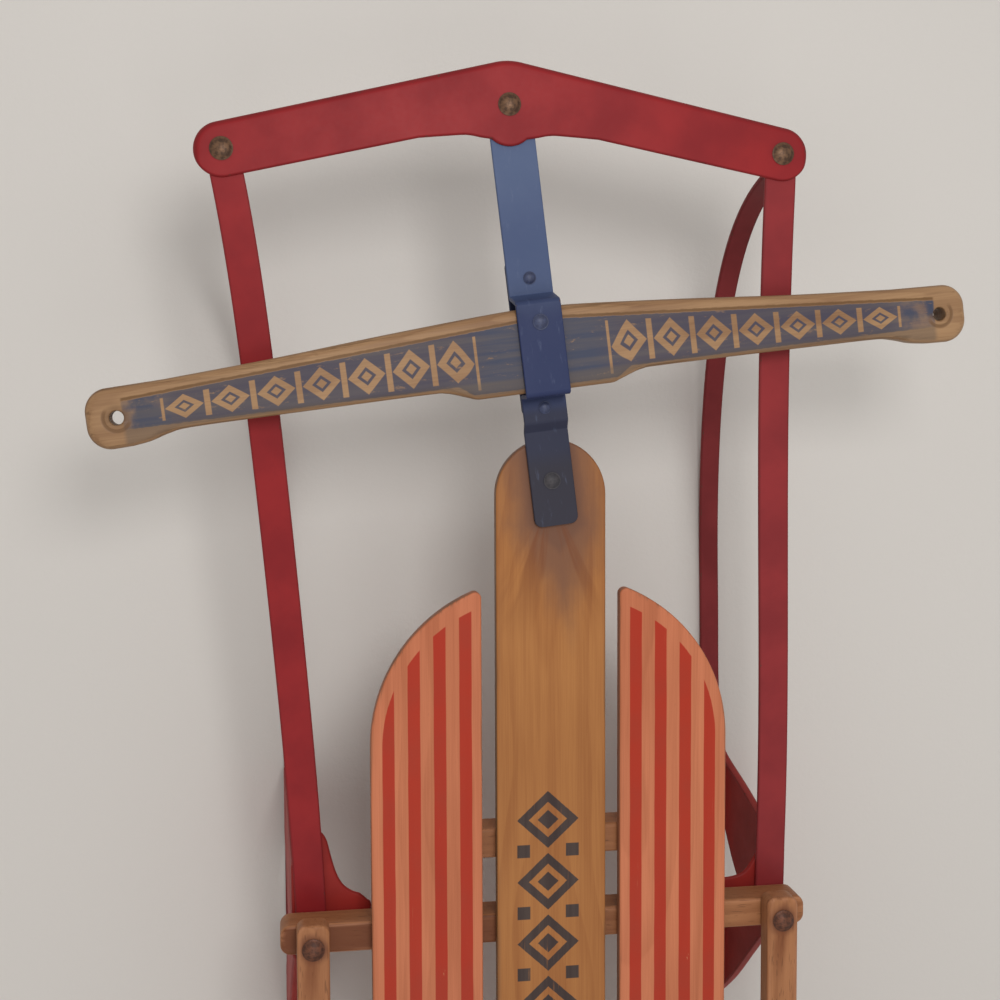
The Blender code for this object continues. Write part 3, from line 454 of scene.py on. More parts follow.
class Field:
    """A number that varies over a surface, with arithmetic that adds nodes."""

    def __init__(self, surface, socket):
        self.surface = surface
        self.socket = socket

    def math(self, operation, *others):
        """Result of a Math node on this number and others."""
        return Field(self.surface, self.surface.add("Math", self, *others, operation=operation)[0])

    def __add__(self, other):
        return self.math("ADD", other)

    def __sub__(self, other):
        return self.math("SUBTRACT", other)

    def __mul__(self, other):
        return self.math("MULTIPLY", other)

    def __truediv__(self, other):
        return self.math("DIVIDE", other)

    def __abs__(self):
        return self.math("ABSOLUTE")

    def rise(self, low, high):
        """0 at low and 1 at high with a smooth change between; falls where low is above high."""
        outputs = self.surface.add("MapRange", self, low, high, interpolation_type="SMOOTHSTEP")
        return Field(self.surface, outputs["Result"])

    def below(self, edge, soft=0.0003):
        """1 where the number is under the edge."""
        return (self - edge).rise(soft, -soft)

    def above(self, edge, soft=0.0003):
        """1 where the number is over the edge."""
        return (self - edge).rise(-soft, soft)

    def between(self, low, high, soft=0.0003):
        """1 where the number lies between two edges."""
        return self.above(low, soft) * self.below(high, soft)

    def inverse(self, amount=1.0):
        """1 less an amount of the number."""
        field = self if amount == 1.0 else self * amount
        return field * -1.0 + 1.0

    def higher(self, other):
        return self.math("MAXIMUM", other)


class Graph:
    """Node graph of a material or world; its colours are screen values."""

    def __init__(self, owner):
        owner.use_nodes = True
        self.tree = owner.node_tree

    def plug(self, socket, value):
        """Link a number or an output to an input, or set the input's own value."""
        if isinstance(value, Field):
            self.tree.links.new(value.socket, socket)
        elif isinstance(value, bpy.types.NodeSocket):
            self.tree.links.new(value, socket)
        elif isinstance(value, tuple) and socket.type == "RGBA":
            socket.default_value = (*tone(value), 1.0)
        else:
            socket.default_value = value

    def add(self, kind, *values, **settings):
        """Outputs of a new node; its inputs are filled in order, or from one dictionary."""
        node = self.tree.nodes.new("ShaderNode" + kind)
        for key, value in settings.items():
            setattr(node, key, value)
        named = values and isinstance(values[0], dict)
        for key, value in values[0].items() if named else enumerate(values):
            self.plug(node.inputs[key], value)
        return node.outputs


class Surface(Graph):
    """Material with colour, roughness and height graphs; its relief is in metres."""

    relief = 0.0002
    gloss = 0.3

    def __init__(self, name):
        self.material = bpy.data.materials.new(name)
        super().__init__(self.material)
        self.shader = self.tree.nodes["Principled BSDF"]

    def split(self, vector):
        """The three parts of a vector."""
        return [Field(self, output) for output in self.add("SeparateXYZ", vector)]

    def object_axes(self):
        """The three object coordinates, in metres."""
        return self.split(self.add("TexCoord")["Object"])

    def mark(self, name):
        """A float attribute of the mesh."""
        return Field(self, self.add("Attribute", attribute_name=name)["Fac"])

    def facing_up(self):
        """1 on level faces and 0 on upright ones."""
        return abs(self.split(self.add("NewGeometry")["Normal"])[2])

    def vector(self, *parts):
        """Three numbers as one vector."""
        return self.add("CombineXYZ", *parts)[0]

    def length(self, x, y):
        """Distance from the origin of a plane."""
        outputs = self.add("VectorMath", self.vector(x, y, 0.0), operation="LENGTH")
        return Field(self, outputs["Value"])

    def noise(self, vector, scale, detail=3.0, roughness=0.5):
        """Soft noise from 0 to 1 about 0.5."""
        values = {"Vector": vector, "Scale": scale, "Detail": detail, "Roughness": roughness}
        return Field(self, self.add("TexNoise", values)["Fac"])

    def mix(self, low, high, share):
        """Colour between two by a share."""
        return self.add("Mix", {0: share, 6: low, 7: high}, data_type="RGBA")[2]

    def shade(self, colour, share):
        """Lay a colour over what is there."""
        self.colour = self.mix(self.colour, colour, share)

    def done(self):
        """Plug the results into the shader."""
        bump = self.add("Bump", {"Strength": 1.0, "Distance": self.relief, "Height": self.height})
        inputs = {"Base Color": self.colour, "Roughness": self.roughness, "Normal": bump[0]}
        for key, value in {**inputs, "Specular IOR Level": self.gloss}.items():
            self.plug(self.shader.inputs[key], value)
        return self.material


LEAST_ROUGHNESS = 0.32
DEEP_RELIEF = 0.00012

# How much rings, streaks, fibres and blotches darken wood
RING_SHARE = 0.24
STREAK_SHARE = 0.3
FIBRE_SHARE = 0.16
BLOTCH_SHARE = 0.26


class Wood(Surface):
    """Sawn and varnished wood with its grain along y, which is the piece's x where it lies crosswise."""

    relief = 0.00008
    gloss = 0.2

    def __init__(self, name, dark, light, pith, ring, seed, crosswise=False):
        super().__init__(name)
        self.x, self.y, self.z = self.object_axes()
        if crosswise:
            self.x, self.y = self.y, self.x
        self.rim = self.mark("rim")
        self.up = self.facing_up()
        self.top = self.up.rise(0.6, 0.9)
        x, y, z = self.x + seed, self.y + seed * 3.7, self.z
        self.long = self.vector(x, y * 0.035, z)
        sway = self.noise(self.vector(x * 0.6, y * 0.25, z), 9.0, 2.0)
        sway_up = self.noise(self.vector(x * 0.5, y * 0.3, z + 5.0), 7.0, 2.0)
        off_x = self.x - pith[0] + sway * 0.02
        off_z = self.z - pith[1] + sway_up * 0.03
        rings = (self.length(off_x, off_z) / ring).math("FRACT")
        late = rings.rise(0.35, 0.92) * rings.rise(1.0, 0.93)
        self.streak = self.noise(self.long, 170.0, 4.0, 0.6)
        self.fibre = self.noise(self.vector(x, y * 0.012, z), 1500.0, 2.0, 0.6)
        blotch = self.noise(self.vector(x, y * 0.5, z), 11.0, 3.0)
        share = late * RING_SHARE + self.streak.rise(0.62, 0.34) * STREAK_SHARE
        share = share + self.fibre.rise(0.6, 0.4) * FIBRE_SHARE + blotch.rise(0.35, 0.7) * BLOTCH_SHARE
        self.colour = self.mix(light, dark, share)
        self.height = self.fibre * 0.6 + self.streak * 0.25 - late * 0.35
        self.roughness = self.fibre * 0.14 + blotch * 0.18 + LEAST_ROUGHNESS

    def mottle(self, stretch, *values):
        """Noise on the plan view, with the coordinate along the grain stretched."""
        return self.noise(self.vector(self.x, self.y * stretch, 0.0), *values)

    def handle(self, edge_dark, amount):
        """Dirt and painted shade on the sides, and rubbed varnish on the edges."""
        grime_and_shade = self.noise(self.long, 60.0, 4.0).rise(0.25, 0.75) * 0.5 + 0.5
        # Upright faces are darkened with dirt and painted shade.
        self.shade(edge_dark, self.up.rise(0.75, 0.25) * grime_and_shade * amount)
        rubbed = self.noise(self.long, 320.0, 4.0, 0.65).rise(0.52, 0.64) * self.rim
        self.shade(edge_dark, rubbed * 0.5)
        dents = self.noise(self.vector(self.x, self.y * 0.4, self.z), 75.0, 3.0, 0.6).rise(0.7, 0.76)
        self.shade(edge_dark, dents * 0.35)
        self.height = self.height - dents * 0.8 - rubbed * 0.3


RED_STRIPE = (163, 36, 14)
RED_STRIPE_FADED = (154, 41, 22)
PALE_DARK = (164, 92, 60)
PALE_LIGHT = (196, 117, 82)
BOARD_SIDE = (96, 76, 58)
# Colour of the dirt and painted shade on the board sides, and of their rubbed edges and dents
STRIPE_COUNT = 4.0
STRIPE_START = 0.0068
STRIPE_PITCH = 0.0176
STRIPE_WIDTH = 0.0087
STRIPE_TOP_Y = 0.1515
STRIPE_ELLIPSE = (0.1052, 0.101)
STRIPE_CENTRE = -0.037


def striped_wood(name, side, seed):
    """Pale outer board with four red stripes whose tops follow the curved front."""
    wood = Wood(name, PALE_DARK, PALE_LIGHT, (side * -0.02, 0.06), 0.0034, seed)
    rough = wood.noise(wood.long, 900.0, 3.0) * 0.0007 - 0.00035
    inner = wood.x * side + 0.038 + rough
    turns = (inner - STRIPE_START) / STRIPE_PITCH
    share = STRIPE_WIDTH / STRIPE_PITCH
    soft = 0.0003 / STRIPE_PITCH
    part = turns.math("FRACT")
    bands = part.between(soft, share, soft) * turns.between(0.0, STRIPE_COUNT, soft)
    across = ((inner - STRIPE_CENTRE) / STRIPE_ELLIPSE[0]).math("POWER", 2.0)
    along = (wood.y - STRIPE_TOP_Y).higher(0.0) / STRIPE_ELLIPSE[1]
    bands = bands * (across + along.math("POWER", 2.0)).rise(1.004, 0.992) * wood.top
    worn = wood.noise(wood.long, 420.0, 5.0, 0.7).rise(0.66, 0.78)
    scuffs = wood.mottle(0.35, 130.0, 4.0, 0.7).rise(0.68, 0.74)
    paint = bands * worn.inverse(0.75) * scuffs.inverse(0.8)
    faded = wood.mottle(1.0, 25.0, 3.0)
    red = wood.mix(RED_STRIPE, RED_STRIPE_FADED, faded.rise(0.35, 0.75))
    wood.handle(BOARD_SIDE, 0.75)
    wood.shade(red, paint * 0.93)
    wood.height = wood.height * paint.inverse(0.55) + paint * 0.5
    return wood.done()


BOARD_DARK = (140, 84, 42)
BOARD_LIGHT = (168, 112, 61)
MOTIF_BLUE = (30, 35, 42)
MOTIF_WORN = (48, 49, 53)
# Colours of the stain and painted shade beside the steering strap
STRAP_STAIN_AND_SHADE = (70, 46, 36)
STRAP_WIDE_STAIN_AND_SHADE = (112, 76, 58)
STRAP_DRIP = (112, 60, 30)
MOTIF_X = -0.0026
MOTIF_HALF = 0.0215
MOTIF_FRONT = 0.119
MOTIF_REAR = -0.4
MOTIF_PITCH = 0.0433
STRAP_END_Y = PIVOT.y - STEER_TAIL


def centre_wood():
    """Orange-brown middle board with a dark blue band of lozenges, and the strap's stain with painted shade
    beside it.
    """
    wood = Wood("centre_board_finish", BOARD_DARK, BOARD_LIGHT, (0.012, 0.055), 0.003, 3.1)
    wood.handle(BOARD_SIDE, 0.8)
    rough = wood.noise(wood.long, 700.0, 3.0) * 0.0008 - 0.0004
    u = abs(wood.x - MOTIF_X) + rough
    turns = (wood.y * -1.0 + MOTIF_FRONT) / MOTIF_PITCH
    v = (turns.math("FRACT") - 0.5) * MOTIF_PITCH
    slope = abs(v) * (MOTIF_HALF / (MOTIF_PITCH * 0.46)) + u
    lozenge = slope.below(MOTIF_HALF)
    hollow = slope.below(MOTIF_HALF * 0.62) * slope.below(MOTIF_HALF * 0.34).inverse()
    corner = abs(v).above(MOTIF_PITCH * 0.5 - 0.0045) * u.below(MOTIF_HALF)
    corner = corner * u.above(0.0125) * turns.between(0.175, 11.825, 0.025)
    figure = (lozenge * hollow.inverse()).higher(corner)
    inside = wood.y.between(MOTIF_REAR, MOTIF_FRONT)
    worn = wood.noise(wood.long, 380.0, 5.0, 0.7).rise(0.6, 0.74)
    paint = figure * inside * worn.inverse(0.8) * wood.top
    blue = wood.mix(MOTIF_BLUE, MOTIF_WORN, wood.streak.rise(0.35, 0.7))
    wood.shade(blue, paint * 0.9)
    beside = abs(wood.x + (wood.y - PIVOT.y) * tan(STEER))
    behind = wood.y * -1.0 + STRAP_END_Y
    ragged = wood.mottle(0.4, 90.0, 4.0, 0.6)
    # Stain and painted shade close beside the strap and behind its end.
    halo = (beside + behind.higher(0.0) + ragged * 0.004).rise(0.0255, 0.0165) * wood.top
    wood.shade(STRAP_STAIN_AND_SHADE, halo * 0.8)
    # Wider stain and painted shade round the strap.
    wide_stain_and_shade = (beside + behind.higher(0.0) * 0.5 + ragged * 0.02).rise(0.058, 0.026)
    wood.shade(STRAP_WIDE_STAIN_AND_SHADE, wide_stain_and_shade * 0.85)
    spread = behind.higher(0.0) * 0.45 + 0.01
    lean = (wood.x + 0.001) / spread
    drips = wood.noise(wood.vector(lean, behind * 4.0, 0.0), 1.7, 3.0, 0.6)
    below = abs(lean).rise(1.5, 0.7) * behind.rise(-0.002, 0.004) * behind.rise(0.085, 0.02)
    wood.shade(STRAP_DRIP, below * drips.rise(0.45, 0.6) * 0.55)
    return wood.done()


BEAM_DARK = (132, 82, 50)
BEAM_LIGHT = (166, 112, 74)
# Colour of the painted shade on the beams' tops
BEAM_TOP_SHADE = (104, 56, 32)
# Colour of the dirt and painted shade on the beams' sides, and of their rubbed edges and dents
BEAM_PORE = (84, 52, 32)
BEAM_GRIME_AND_SHADE = (120, 76, 52)
BEAM_WORN = (182, 126, 92)
BOLT_SOOT = (96, 52, 34)
BOLT_TRAIL = (112, 60, 32)


def beam_wood(name, seed, crosswise, top_shade=0.0, bolts=()):
    """Brown hardwood with painted shade on its top, darker towards the left, and stains around its bolts."""
    wood = Wood(name, BEAM_DARK, BEAM_LIGHT, (0.03, 0.1), 0.0026, seed, crosswise)
    pores = wood.noise(wood.vector(wood.x + seed, wood.y * 0.1, wood.z), 900.0, 1.0).rise(0.64, 0.7)
    wood.shade(BEAM_PORE, pores * 0.5)
    wood.height = wood.height - pores * 0.6
    # Painted shade on the top faces, darker towards the left.
    if top_shade:
        cloud = wood.mottle(0.3, 26.0, 4.0, 0.6)
        shaded_top = (wood.y + cloud * 0.1).rise(0.17, -0.02) * wood.up.rise(0.5, 0.85)
        wood.shade(BEAM_TOP_SHADE, shaded_top * top_shade)
    for spot in bolts:
        across, behind = wood.x - spot.x, (wood.y - spot.y) * -1.0
        ragged = wood.noise(wood.vector(wood.x + spot.x, wood.y * 0.4, seed), 120.0, 3.0, 0.6)
        top = wood.up.rise(0.5, 0.9)
        ring = (wood.length(across, behind) + ragged * 0.006).rise(0.016, 0.0095)
        wood.shade(BOLT_SOOT, ring * top * 0.75)
        trail = (abs(across + behind * 0.12) + ragged * 0.004).rise(0.0085, 0.0035)
        trail = trail * behind.rise(0.0, 0.006) * behind.rise(0.05, 0.014)
        wood.shade(BOLT_TRAIL, trail * top * 0.65)
    wood.handle(BEAM_GRIME_AND_SHADE, 0.3)
    worn = wood.noise(wood.long, 240.0, 4.0, 0.6).rise(0.42, 0.6) * wood.rim
    wood.shade(BEAM_WORN, worn * 0.55)
    wood.relief = DEEP_RELIEF
    return wood.done()


BAR_DARK = (124, 90, 63)
BAR_LIGHT = (161, 126, 91)
# Colour of the dirt and painted shade on the bar's sides, and of its rubbed edges and dents
BAR_GRIME_AND_SHADE = (88, 62, 40)
BAR_LINE = (96, 66, 36)
BAR_GREY = (96, 84, 74)
HOLE_GROOVE = (104, 74, 48)
HOLE_SMUDGE = (84, 58, 38)
PRINT_BLUE = (58, 60, 78)
PRINT_DEEP = (42, 60, 86)
PRINT_WORN = (80, 78, 82)
FIGURE_HALF_WIDTH = 0.0122
FIGURE_COUNT = 7.0
BAR_FRONT_SLOPE = 0.0714
BAR_FRONT = 0.1165
BAND_FRONT_MARGIN = 0.0082
BAND_REAR = 0.0708
BAND_END = 0.272
FIGURE_START = 0.0435
FIGURE_PITCH = 0.0292


def bar_wood():
    """Steering bar: light hardwood with a worn blue band that leaves a row of plain figures bare."""
    wood = Wood("steering_bar_finish", BAR_DARK, BAR_LIGHT, (0.1, 0.12), 0.0028, 8.2, True)
    u, v = abs(wood.y), wood.x
    rough = wood.mottle(0.5, 420.0, 4.0) * 0.0012 - 0.0006
    front = u * -BAR_FRONT_SLOPE + (BAR_FRONT - BAND_FRONT_MARGIN)
    wood.handle(BAR_GRIME_AND_SHADE, 0.45)
    line = (abs(v - front - 0.0012 + rough)).rise(0.0014, 0.0005)
    wood.shade(BAR_LINE, line * u.below(BAND_END, 0.001) * 0.8)
    rear = (u - 0.053).rise(-0.006, 0.006) * 0.0065 + (BAND_REAR - 0.0065)
    inside = (v + rough).between(rear, front, 0.0004)
    inside = inside * (u + rough).below(BAND_END, 0.0008)
    mid = (front + rear) * 0.5
    half = (front - rear) * 0.5 - 0.0028
    turns = (u - FIGURE_START) / FIGURE_PITCH
    du = abs(turns.math("FRACT") - 0.5) * FIGURE_PITCH
    dv = abs(v - mid)
    slope = du / FIGURE_HALF_WIDTH + dv / half
    lozenge = slope.rise(1.03, 0.97) * (slope.rise(0.54, 0.48) * slope.rise(0.26, 0.32)).inverse()
    bar = du.above(FIGURE_PITCH * 0.5 - 0.0019) * dv.below(half)
    figure = lozenge.higher(bar) * turns.between(0.0, FIGURE_COUNT, 0.01)
    worn = wood.mottle(0.3, 260.0, 5.0, 0.7).rise(0.58, 0.74)
    ends = u.rise(0.235, 0.27) * wood.mottle(1.0, 60.0, 4.0).rise(0.4, 0.62)
    paint = inside * figure.inverse() * worn.inverse(0.85) * ends.inverse(0.6)
    paint = paint * wood.top
    deep = u.rise(0.058, 0.03).higher(u.rise(0.236, 0.25))
    blue = wood.mix(PRINT_BLUE, PRINT_DEEP, deep)
    blue = wood.mix(blue, PRINT_WORN, wood.streak.rise(0.35, 0.72) * 0.7)
    wood.shade(blue, paint * 0.9)
    grey = v.rise(0.0735, 0.07) * u.below(BAND_END, 0.002) * wood.up.rise(0.5, 0.9)
    wood.shade(BAR_GREY, grey * 0.55)
    radius = wood.length(u - BAR_HOLE.x, v - BAR_HOLE.y)
    groove = radius.rise(0.0068, 0.0078) * radius.rise(0.0102, 0.0088)
    groove = groove * (v - BAR_HOLE.y + (u - BAR_HOLE.x) * -0.6).rise(0.004, -0.002)
    wood.shade(HOLE_GROOVE, groove * 0.7)
    smudge = radius.rise(0.0105, 0.005) * wood.streak.rise(0.4, 0.6)
    wood.shade(HOLE_SMUDGE, smudge * 0.5)
    wood.height = wood.height - groove * 2.2
    wood.roughness = wood.roughness + paint * 0.08
    wood.relief = DEEP_RELIEF
    return wood.done()


RUSTED = (98, 66, 56)


class Enamel(Surface):
    """Old enamel on steel, chipped on its edges and rubbed; swept pieces carry their own coordinates."""

    relief = DEEP_RELIEF
    gloss = 0.14

    def __init__(self, name, base, deep, bare, swept=True, chips=0.3):
        super().__init__(name)
        if swept:
            self.u, self.v, w = self.mark("across"), self.mark("along"), self.facing_up() * 0.01
        else:
            self.u, self.v, w = self.object_axes()
        flat = self.vector(self.u, self.v, w)
        self.rim = self.mark("rim")
        cloud = self.noise(flat, 22.0, 4.0)
        peel = self.noise(flat, 420.0, 2.0)
        grit = self.noise(flat, 260.0, 5.0, 0.7)
        colour = self.mix(base, deep, cloud.rise(0.3, 0.72))
        rub = self.noise(flat, 70.0, 5.0, 0.65).rise(0.55, 0.72) * 0.3
        colour = self.mix(colour, deep, rub)
        edge = (self.rim * 0.24 + grit).rise(0.86 - chips * 0.1, 0.9 - chips * 0.1)
        spots = self.noise(flat, 150.0, 5.0, 0.75).rise(0.735, 0.75)
        worn = edge.higher(spots) * self.noise(flat, 31.0, 2.0).rise(0.35, 0.55)
        metal = self.mix(bare, RUSTED, grit.rise(0.4, 0.62))
        self.colour = self.mix(colour, metal, worn)
        self.height = peel * 0.25 + cloud * 0.3 - worn * 0.9
        self.roughness = worn * 0.2 + cloud * 0.18 + grit * 0.12 + LEAST_ROUGHNESS


RED = ((143, 34, 36), (126, 29, 33))
RED_DULL = ((140, 46, 48), (124, 40, 43))
RED_GROUND = ((130, 46, 48), (114, 38, 40))
RED_KNEE = ((156, 44, 38), (134, 36, 32))
# Colour of the painted shade on folds and edges
RED_FOLD_SHADE = (94, 26, 28)
PRIMER = (70, 38, 34)
BLUE_PRIMER = (44, 40, 44)
BLUE_RUBBED = (98, 108, 134)

# Colour, share and limits ahead of the pivot of each zone of the steering strap: painted shadow of the bar
# behind it, a duller tail, the deep blue over the bar, then painted light and a painted highlight ahead of it
BLUE_ZONES = (
    ((50, 50, 62), 0.75, ((0.056, 0.046),)),
    ((54, 50, 54), 0.6, ((0.024, 0.006),)),
    ((44, 52, 86), 0.7, ((0.052, 0.062), (0.136, 0.124))),
    ((74, 88, 121), 0.75, ((0.126, 0.165),)),
    ((86, 100, 129), 0.5, ((0.2, 0.25),)),
)


def red_enamel(name, reds, swept=True, chips=0.2):
    """Red paint with painted shade on its folds and along its edges."""
    paint = Enamel(name, *reds, PRIMER, swept, chips)
    # Painted shade: darker on the folds and edges.
    paint.shade(RED_FOLD_SHADE, paint.rim.rise(0.55, 1.0) * 0.35)
    return paint.done()


def blue_enamel():
    """Steering strap's blue: painted light ahead of the bar, deep over it, and painted shadow of the bar
    behind it.
    """
    paint = Enamel("steering_strap_finish", (52, 60, 90), (42, 50, 80), BLUE_PRIMER)
    along = paint.v - STEER_TAIL
    # The zones paint the bar's shadow behind it and light and a highlight ahead of it.
    for colour, share, limits in BLUE_ZONES:
        for limit in limits:
            share = along.rise(*limit) * share
        paint.shade(colour, share)
    rubbed = paint.noise(paint.vector(paint.u, paint.v * 0.2, 0.0), 240.0, 4.0, 0.65)
    paint.shade(BLUE_RUBBED, rubbed.rise(0.58, 0.72) * 0.3)
    return paint.done()


def old_metal(name, base, deep, metallic, polish=0.3):
    """Bronzed or plated fastener, darker round the edge of its head."""
    metal = Surface(name + "_finish")
    metal.gloss = 0.5
    spot = metal.vector(*metal.object_axes())
    cloud = metal.noise(spot, 300.0, 4.0, 0.6)
    fine = metal.noise(spot, 1400.0, 3.0, 0.6)
    metal.colour = metal.mix(base, deep, cloud.rise(0.35, 0.65))
    metal.shade(deep, metal.mark("rim").rise(0.86, 1.0) * 0.6)
    metal.plug(metal.shader.inputs["Metallic"], metallic)
    metal.roughness = cloud * 0.25 + fine * 0.15 + polish
    metal.height = cloud * 0.6 + fine * 0.4
    return metal.done()


# Placing pieces

def settle(piece, body, slot, *nodes):
    """The piece rides on a body in place of its CAD nodes."""
    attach(piece, body)
    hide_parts(*nodes)


def spring(piece, body, root, tip, slot, *nodes):
    """The piece takes the place of its CAD nodes, its place baked into its mesh."""
    end = root + (tip - root) * BLEND_SHARE
    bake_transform(piece)
    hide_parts(*nodes)


def ease(value, low, high):
    """0 at low and 1 at high with a smooth change between."""
    share = min(max((value - low) / (high - low), 0.0), 1.0)
    return share * share * (3.0 - 2.0 * share)


def flex(t):
    """Shape of a clamped strip pushed sideways at its tip, from 0 to 1."""
    return (3.0 * t * t - t * t * t) / 2.0


def sprung(root, tip, t):
    """Sideways place at share t of a strip that is clamped at its root and pushed at its tip."""
    return root.x + (tip.x - SHIFT - root.x) * t + (SHIFT * flex(t) if t > 0 else 0.0)


def upright(node):
    """Middle of a CAD node seen from above, as a place at height 0."""
    centre = middle(node)
    return Matrix.Translation((centre.x, centre.y, 0.0))


def make_boards():
    """Deck boards with rounded edges."""
    low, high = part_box("centre_board")
    half = (high.x - low.x) / 2
    corner_y = low.y + BOARD_CORNER
    tail = arc(BOARD_CORNER - half, corner_y, BOARD_CORNER, 180, 270, 8)
    tail += arc(half - BOARD_CORNER, corner_y, BOARD_CORNER, 270, 360, 8)
    outline = tail + arc(0.0, high.y - half, half, 0, 180, 48)
    place = Matrix.Translation((MID_X, 0.0, 0.0))
    board = plate("centre_plank", outline, low.z, high.z, BOARD_EDGE, centre_wood(), place)
    settle(board, "deck", "varnished_wood", "centre_board")
    for side, label in ((-1, "left"), (1, "right")):
        node = label + "_deck_board"
        low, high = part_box(node)
        centre_x = half - SIDE_CURVE_RADIUS
        tip_x = SIDE_TIP_RADIUS - half
        tip_y = high.y - SIDE_TIP_RADIUS
        reach = SIDE_CURVE_RADIUS - SIDE_TIP_RADIUS
        turn = atan2((reach ** 2 - (tip_x - centre_x) ** 2) ** 0.5, tip_x - centre_x)
        end = turn * 180 / pi
        outline = tail + arc(centre_x, tip_y - reach * sin(turn), SIDE_CURVE_RADIUS, 0, end, 36)
        outline += arc(tip_x, tip_y, SIDE_TIP_RADIUS, end, 180, 10)[1:]
        if side < 0:
            outline = [(-x, y) for x, y in reversed(outline)]
        place = Matrix.Translation(((low.x + high.x) / 2, 0.0, 0.0))
        finish = striped_wood(node + "_finish", side, 5.0 + side)
        board = plate(label + "_plank", outline, low.z, high.z, BOARD_EDGE, finish, place)
        settle(board, "deck", "pale_wood", node)


def make_beam(node, corner, finish):
    """Beam or rail with rounded corners in the place of its CAD node."""
    low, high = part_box(node)
    outline = rounded_rectangle((high.x - low.x) / 2, (high.y - low.y) / 2, corner)
    beam = plate(node + "_wood", outline, low.z, high.z, WOOD_EDGE, finish, upright(node))
    settle(beam, "deck", "beam_wood", node)


def make_beams():
    """Crossbeams, cleats and rails."""
    for seed, node in enumerate(("front_crossbeam", "rear_crossbeam", "front_cleat", "rear_cleat")):
        # Painted shade on the tops: strong on the crossbeams, light on the cleats.
        top_shade = 0.9 if node.endswith("crossbeam") else 0.3
        make_beam(node, BEAM_CORNER, beam_wood(node + "_finish", 1.7 * seed + 0.4, True, top_shade))
    for seed, side in ((4.3, "left"), (6.9, "right")):
        node = side + "_side_rail"
        bolts = [middle("%s_%s_rail_bolt" % (end, side)) - middle(node) for end in ("front", "rear")]
        make_beam(node, RAIL_CORNER, beam_wood(node + "_finish", seed, False, 0.0, bolts))


def make_braces():
    """Steel straps from the front crossbeam to the bumper's end rivets.

    The factors 6.75 and 12.2 bring the greatest value of the bow beside them to 1.
    """
    for side, label, tip in ((-1, "left", LEFT_RIVET), (1, "right", RIGHT_RIVET)):
        node = label + "_brace_strap"
        low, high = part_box(node)
        root = JOINTS[label + "_brace_flex"]
        rear_z = low.z + STRAP_THICK / 2
        front_z = high.z - STRAP_THICK / 2
        length = tip.y - root.y
        rise = length - BRACE_LEVEL_TIP - BRACE_BEND_START
        path = []
        for t in [-BRACE_TAIL / length] + [i / BRACE_STEPS for i in range(BRACE_STEPS + 1)]:
            x = sprung(root, tip, t)
            if side > 0:
                x += RIGHT_BRACE_FOOT * ease(t, 0.75, -0.15)
                x -= RIGHT_BRACE_BOW * 6.75 * t * t * (1.0 - t)
            else:
                x += LEFT_BRACE_BOW * 12.2 * t ** 4 * (1.0 - t)
            u = min(max((length * t - BRACE_BEND_START) / rise, 0.0), 1.0)
            climb = 0.35 * u * u * (3.0 - 2.0 * u) + 0.65 * u
            path.append((x, root.y + length * t, rear_z + (front_z - rear_z) * climb))
        path, widths = round_tip(path, [BRACE_WIDTH] * len(path))
        finish = red_enamel(node + "_finish", RED if side < 0 else RED_DULL)
        strap = sweep(label + "_brace", path, widths, STRAP_THICK, 0.0009, finish)
        end = Vector((tip.x, tip.y, root.z))
        spring(strap, label + "_brace", root, end, "red_steel", node)


def runner_path(label, tip):
    """Runner from its curled rear end along the ground and up to the bumper's rivet."""
    rear_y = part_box(label + "_runner")[0].y
    nose_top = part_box(label + "_runner_nose")[1].z - RUNNER_THICK / 2
    root = JOINTS[label + "_nose_flex"]
    mid = RUNNER_THICK / 2
    curl_y = rear_y + RUNNER_THICK / 2 + CURL_RADIUS
    angles = [radians(CURL_SWEEP * i / CURL_STEPS) for i in range(CURL_STEPS, 0, -1)]
    run = [(curl_y - CURL_RADIUS * sin(a), mid + CURL_RADIUS * (1 - cos(a))) for a in angles]
    end_angle = pi / 2 - asin(1.0 - (nose_top - NOSE_BEND - mid) / NOSE_CURVE_HEIGHT)
    curve_y = tip.y - NOSE_TAB_REACH - NOSE_CURVE_LENGTH * sin(end_angle)
    run += [(curl_y + (curve_y - curl_y) * i / FLAT_STEPS, mid) for i in range(FLAT_STEPS)]
    for i in range(RISE_STEPS + 1):
        a = end_angle * i / RISE_STEPS
        run.append((curve_y + NOSE_CURVE_LENGTH * sin(a), mid + NOSE_CURVE_HEIGHT * (1 - cos(a))))
    bend_y = run[-1][0]
    run += [(bend_y + ahead, nose_top - NOSE_BEND * drop) for ahead, drop in NOSE_TAB]
    run.append((tip.y, nose_top))
    path = []
    for y, z in run:
        t = min(max((y - root.y) / (tip.y - root.y), 0.0), 1.0)
        x = sprung(root, tip, t)
        if label == "right":
            x -= RIGHT_NOSE_BOW * (1.0 - (2.0 * t - 1.0) ** 10)
        path.append((x, y, z))
    return path, root


def make_runners():
    """One sprung steel strip for each runner."""
    for label, tip in (("left", LEFT_RIVET), ("right", RIGHT_RIVET)):
        path, root = runner_path(label, tip)
        path, widths = round_tip(path, [RUNNER_WIDTH] * len(path))
        path, widths = round_tip(path[::-1], widths[::-1])
        finish = red_enamel(label + "_runner_finish", RED_GROUND, True, 0.6)
        strip = sweep(label + "_runner_strip", path[::-1], widths[::-1], RUNNER_THICK, 0.001, finish,
                      None, (1, 0, 0))
        nodes = (label + "_runner", label + "_runner_nose")
        end = Vector((root.x, tip.y, root.z))
        spring(strip, label + "_nose", root, end, "dark_red_steel", *nodes)


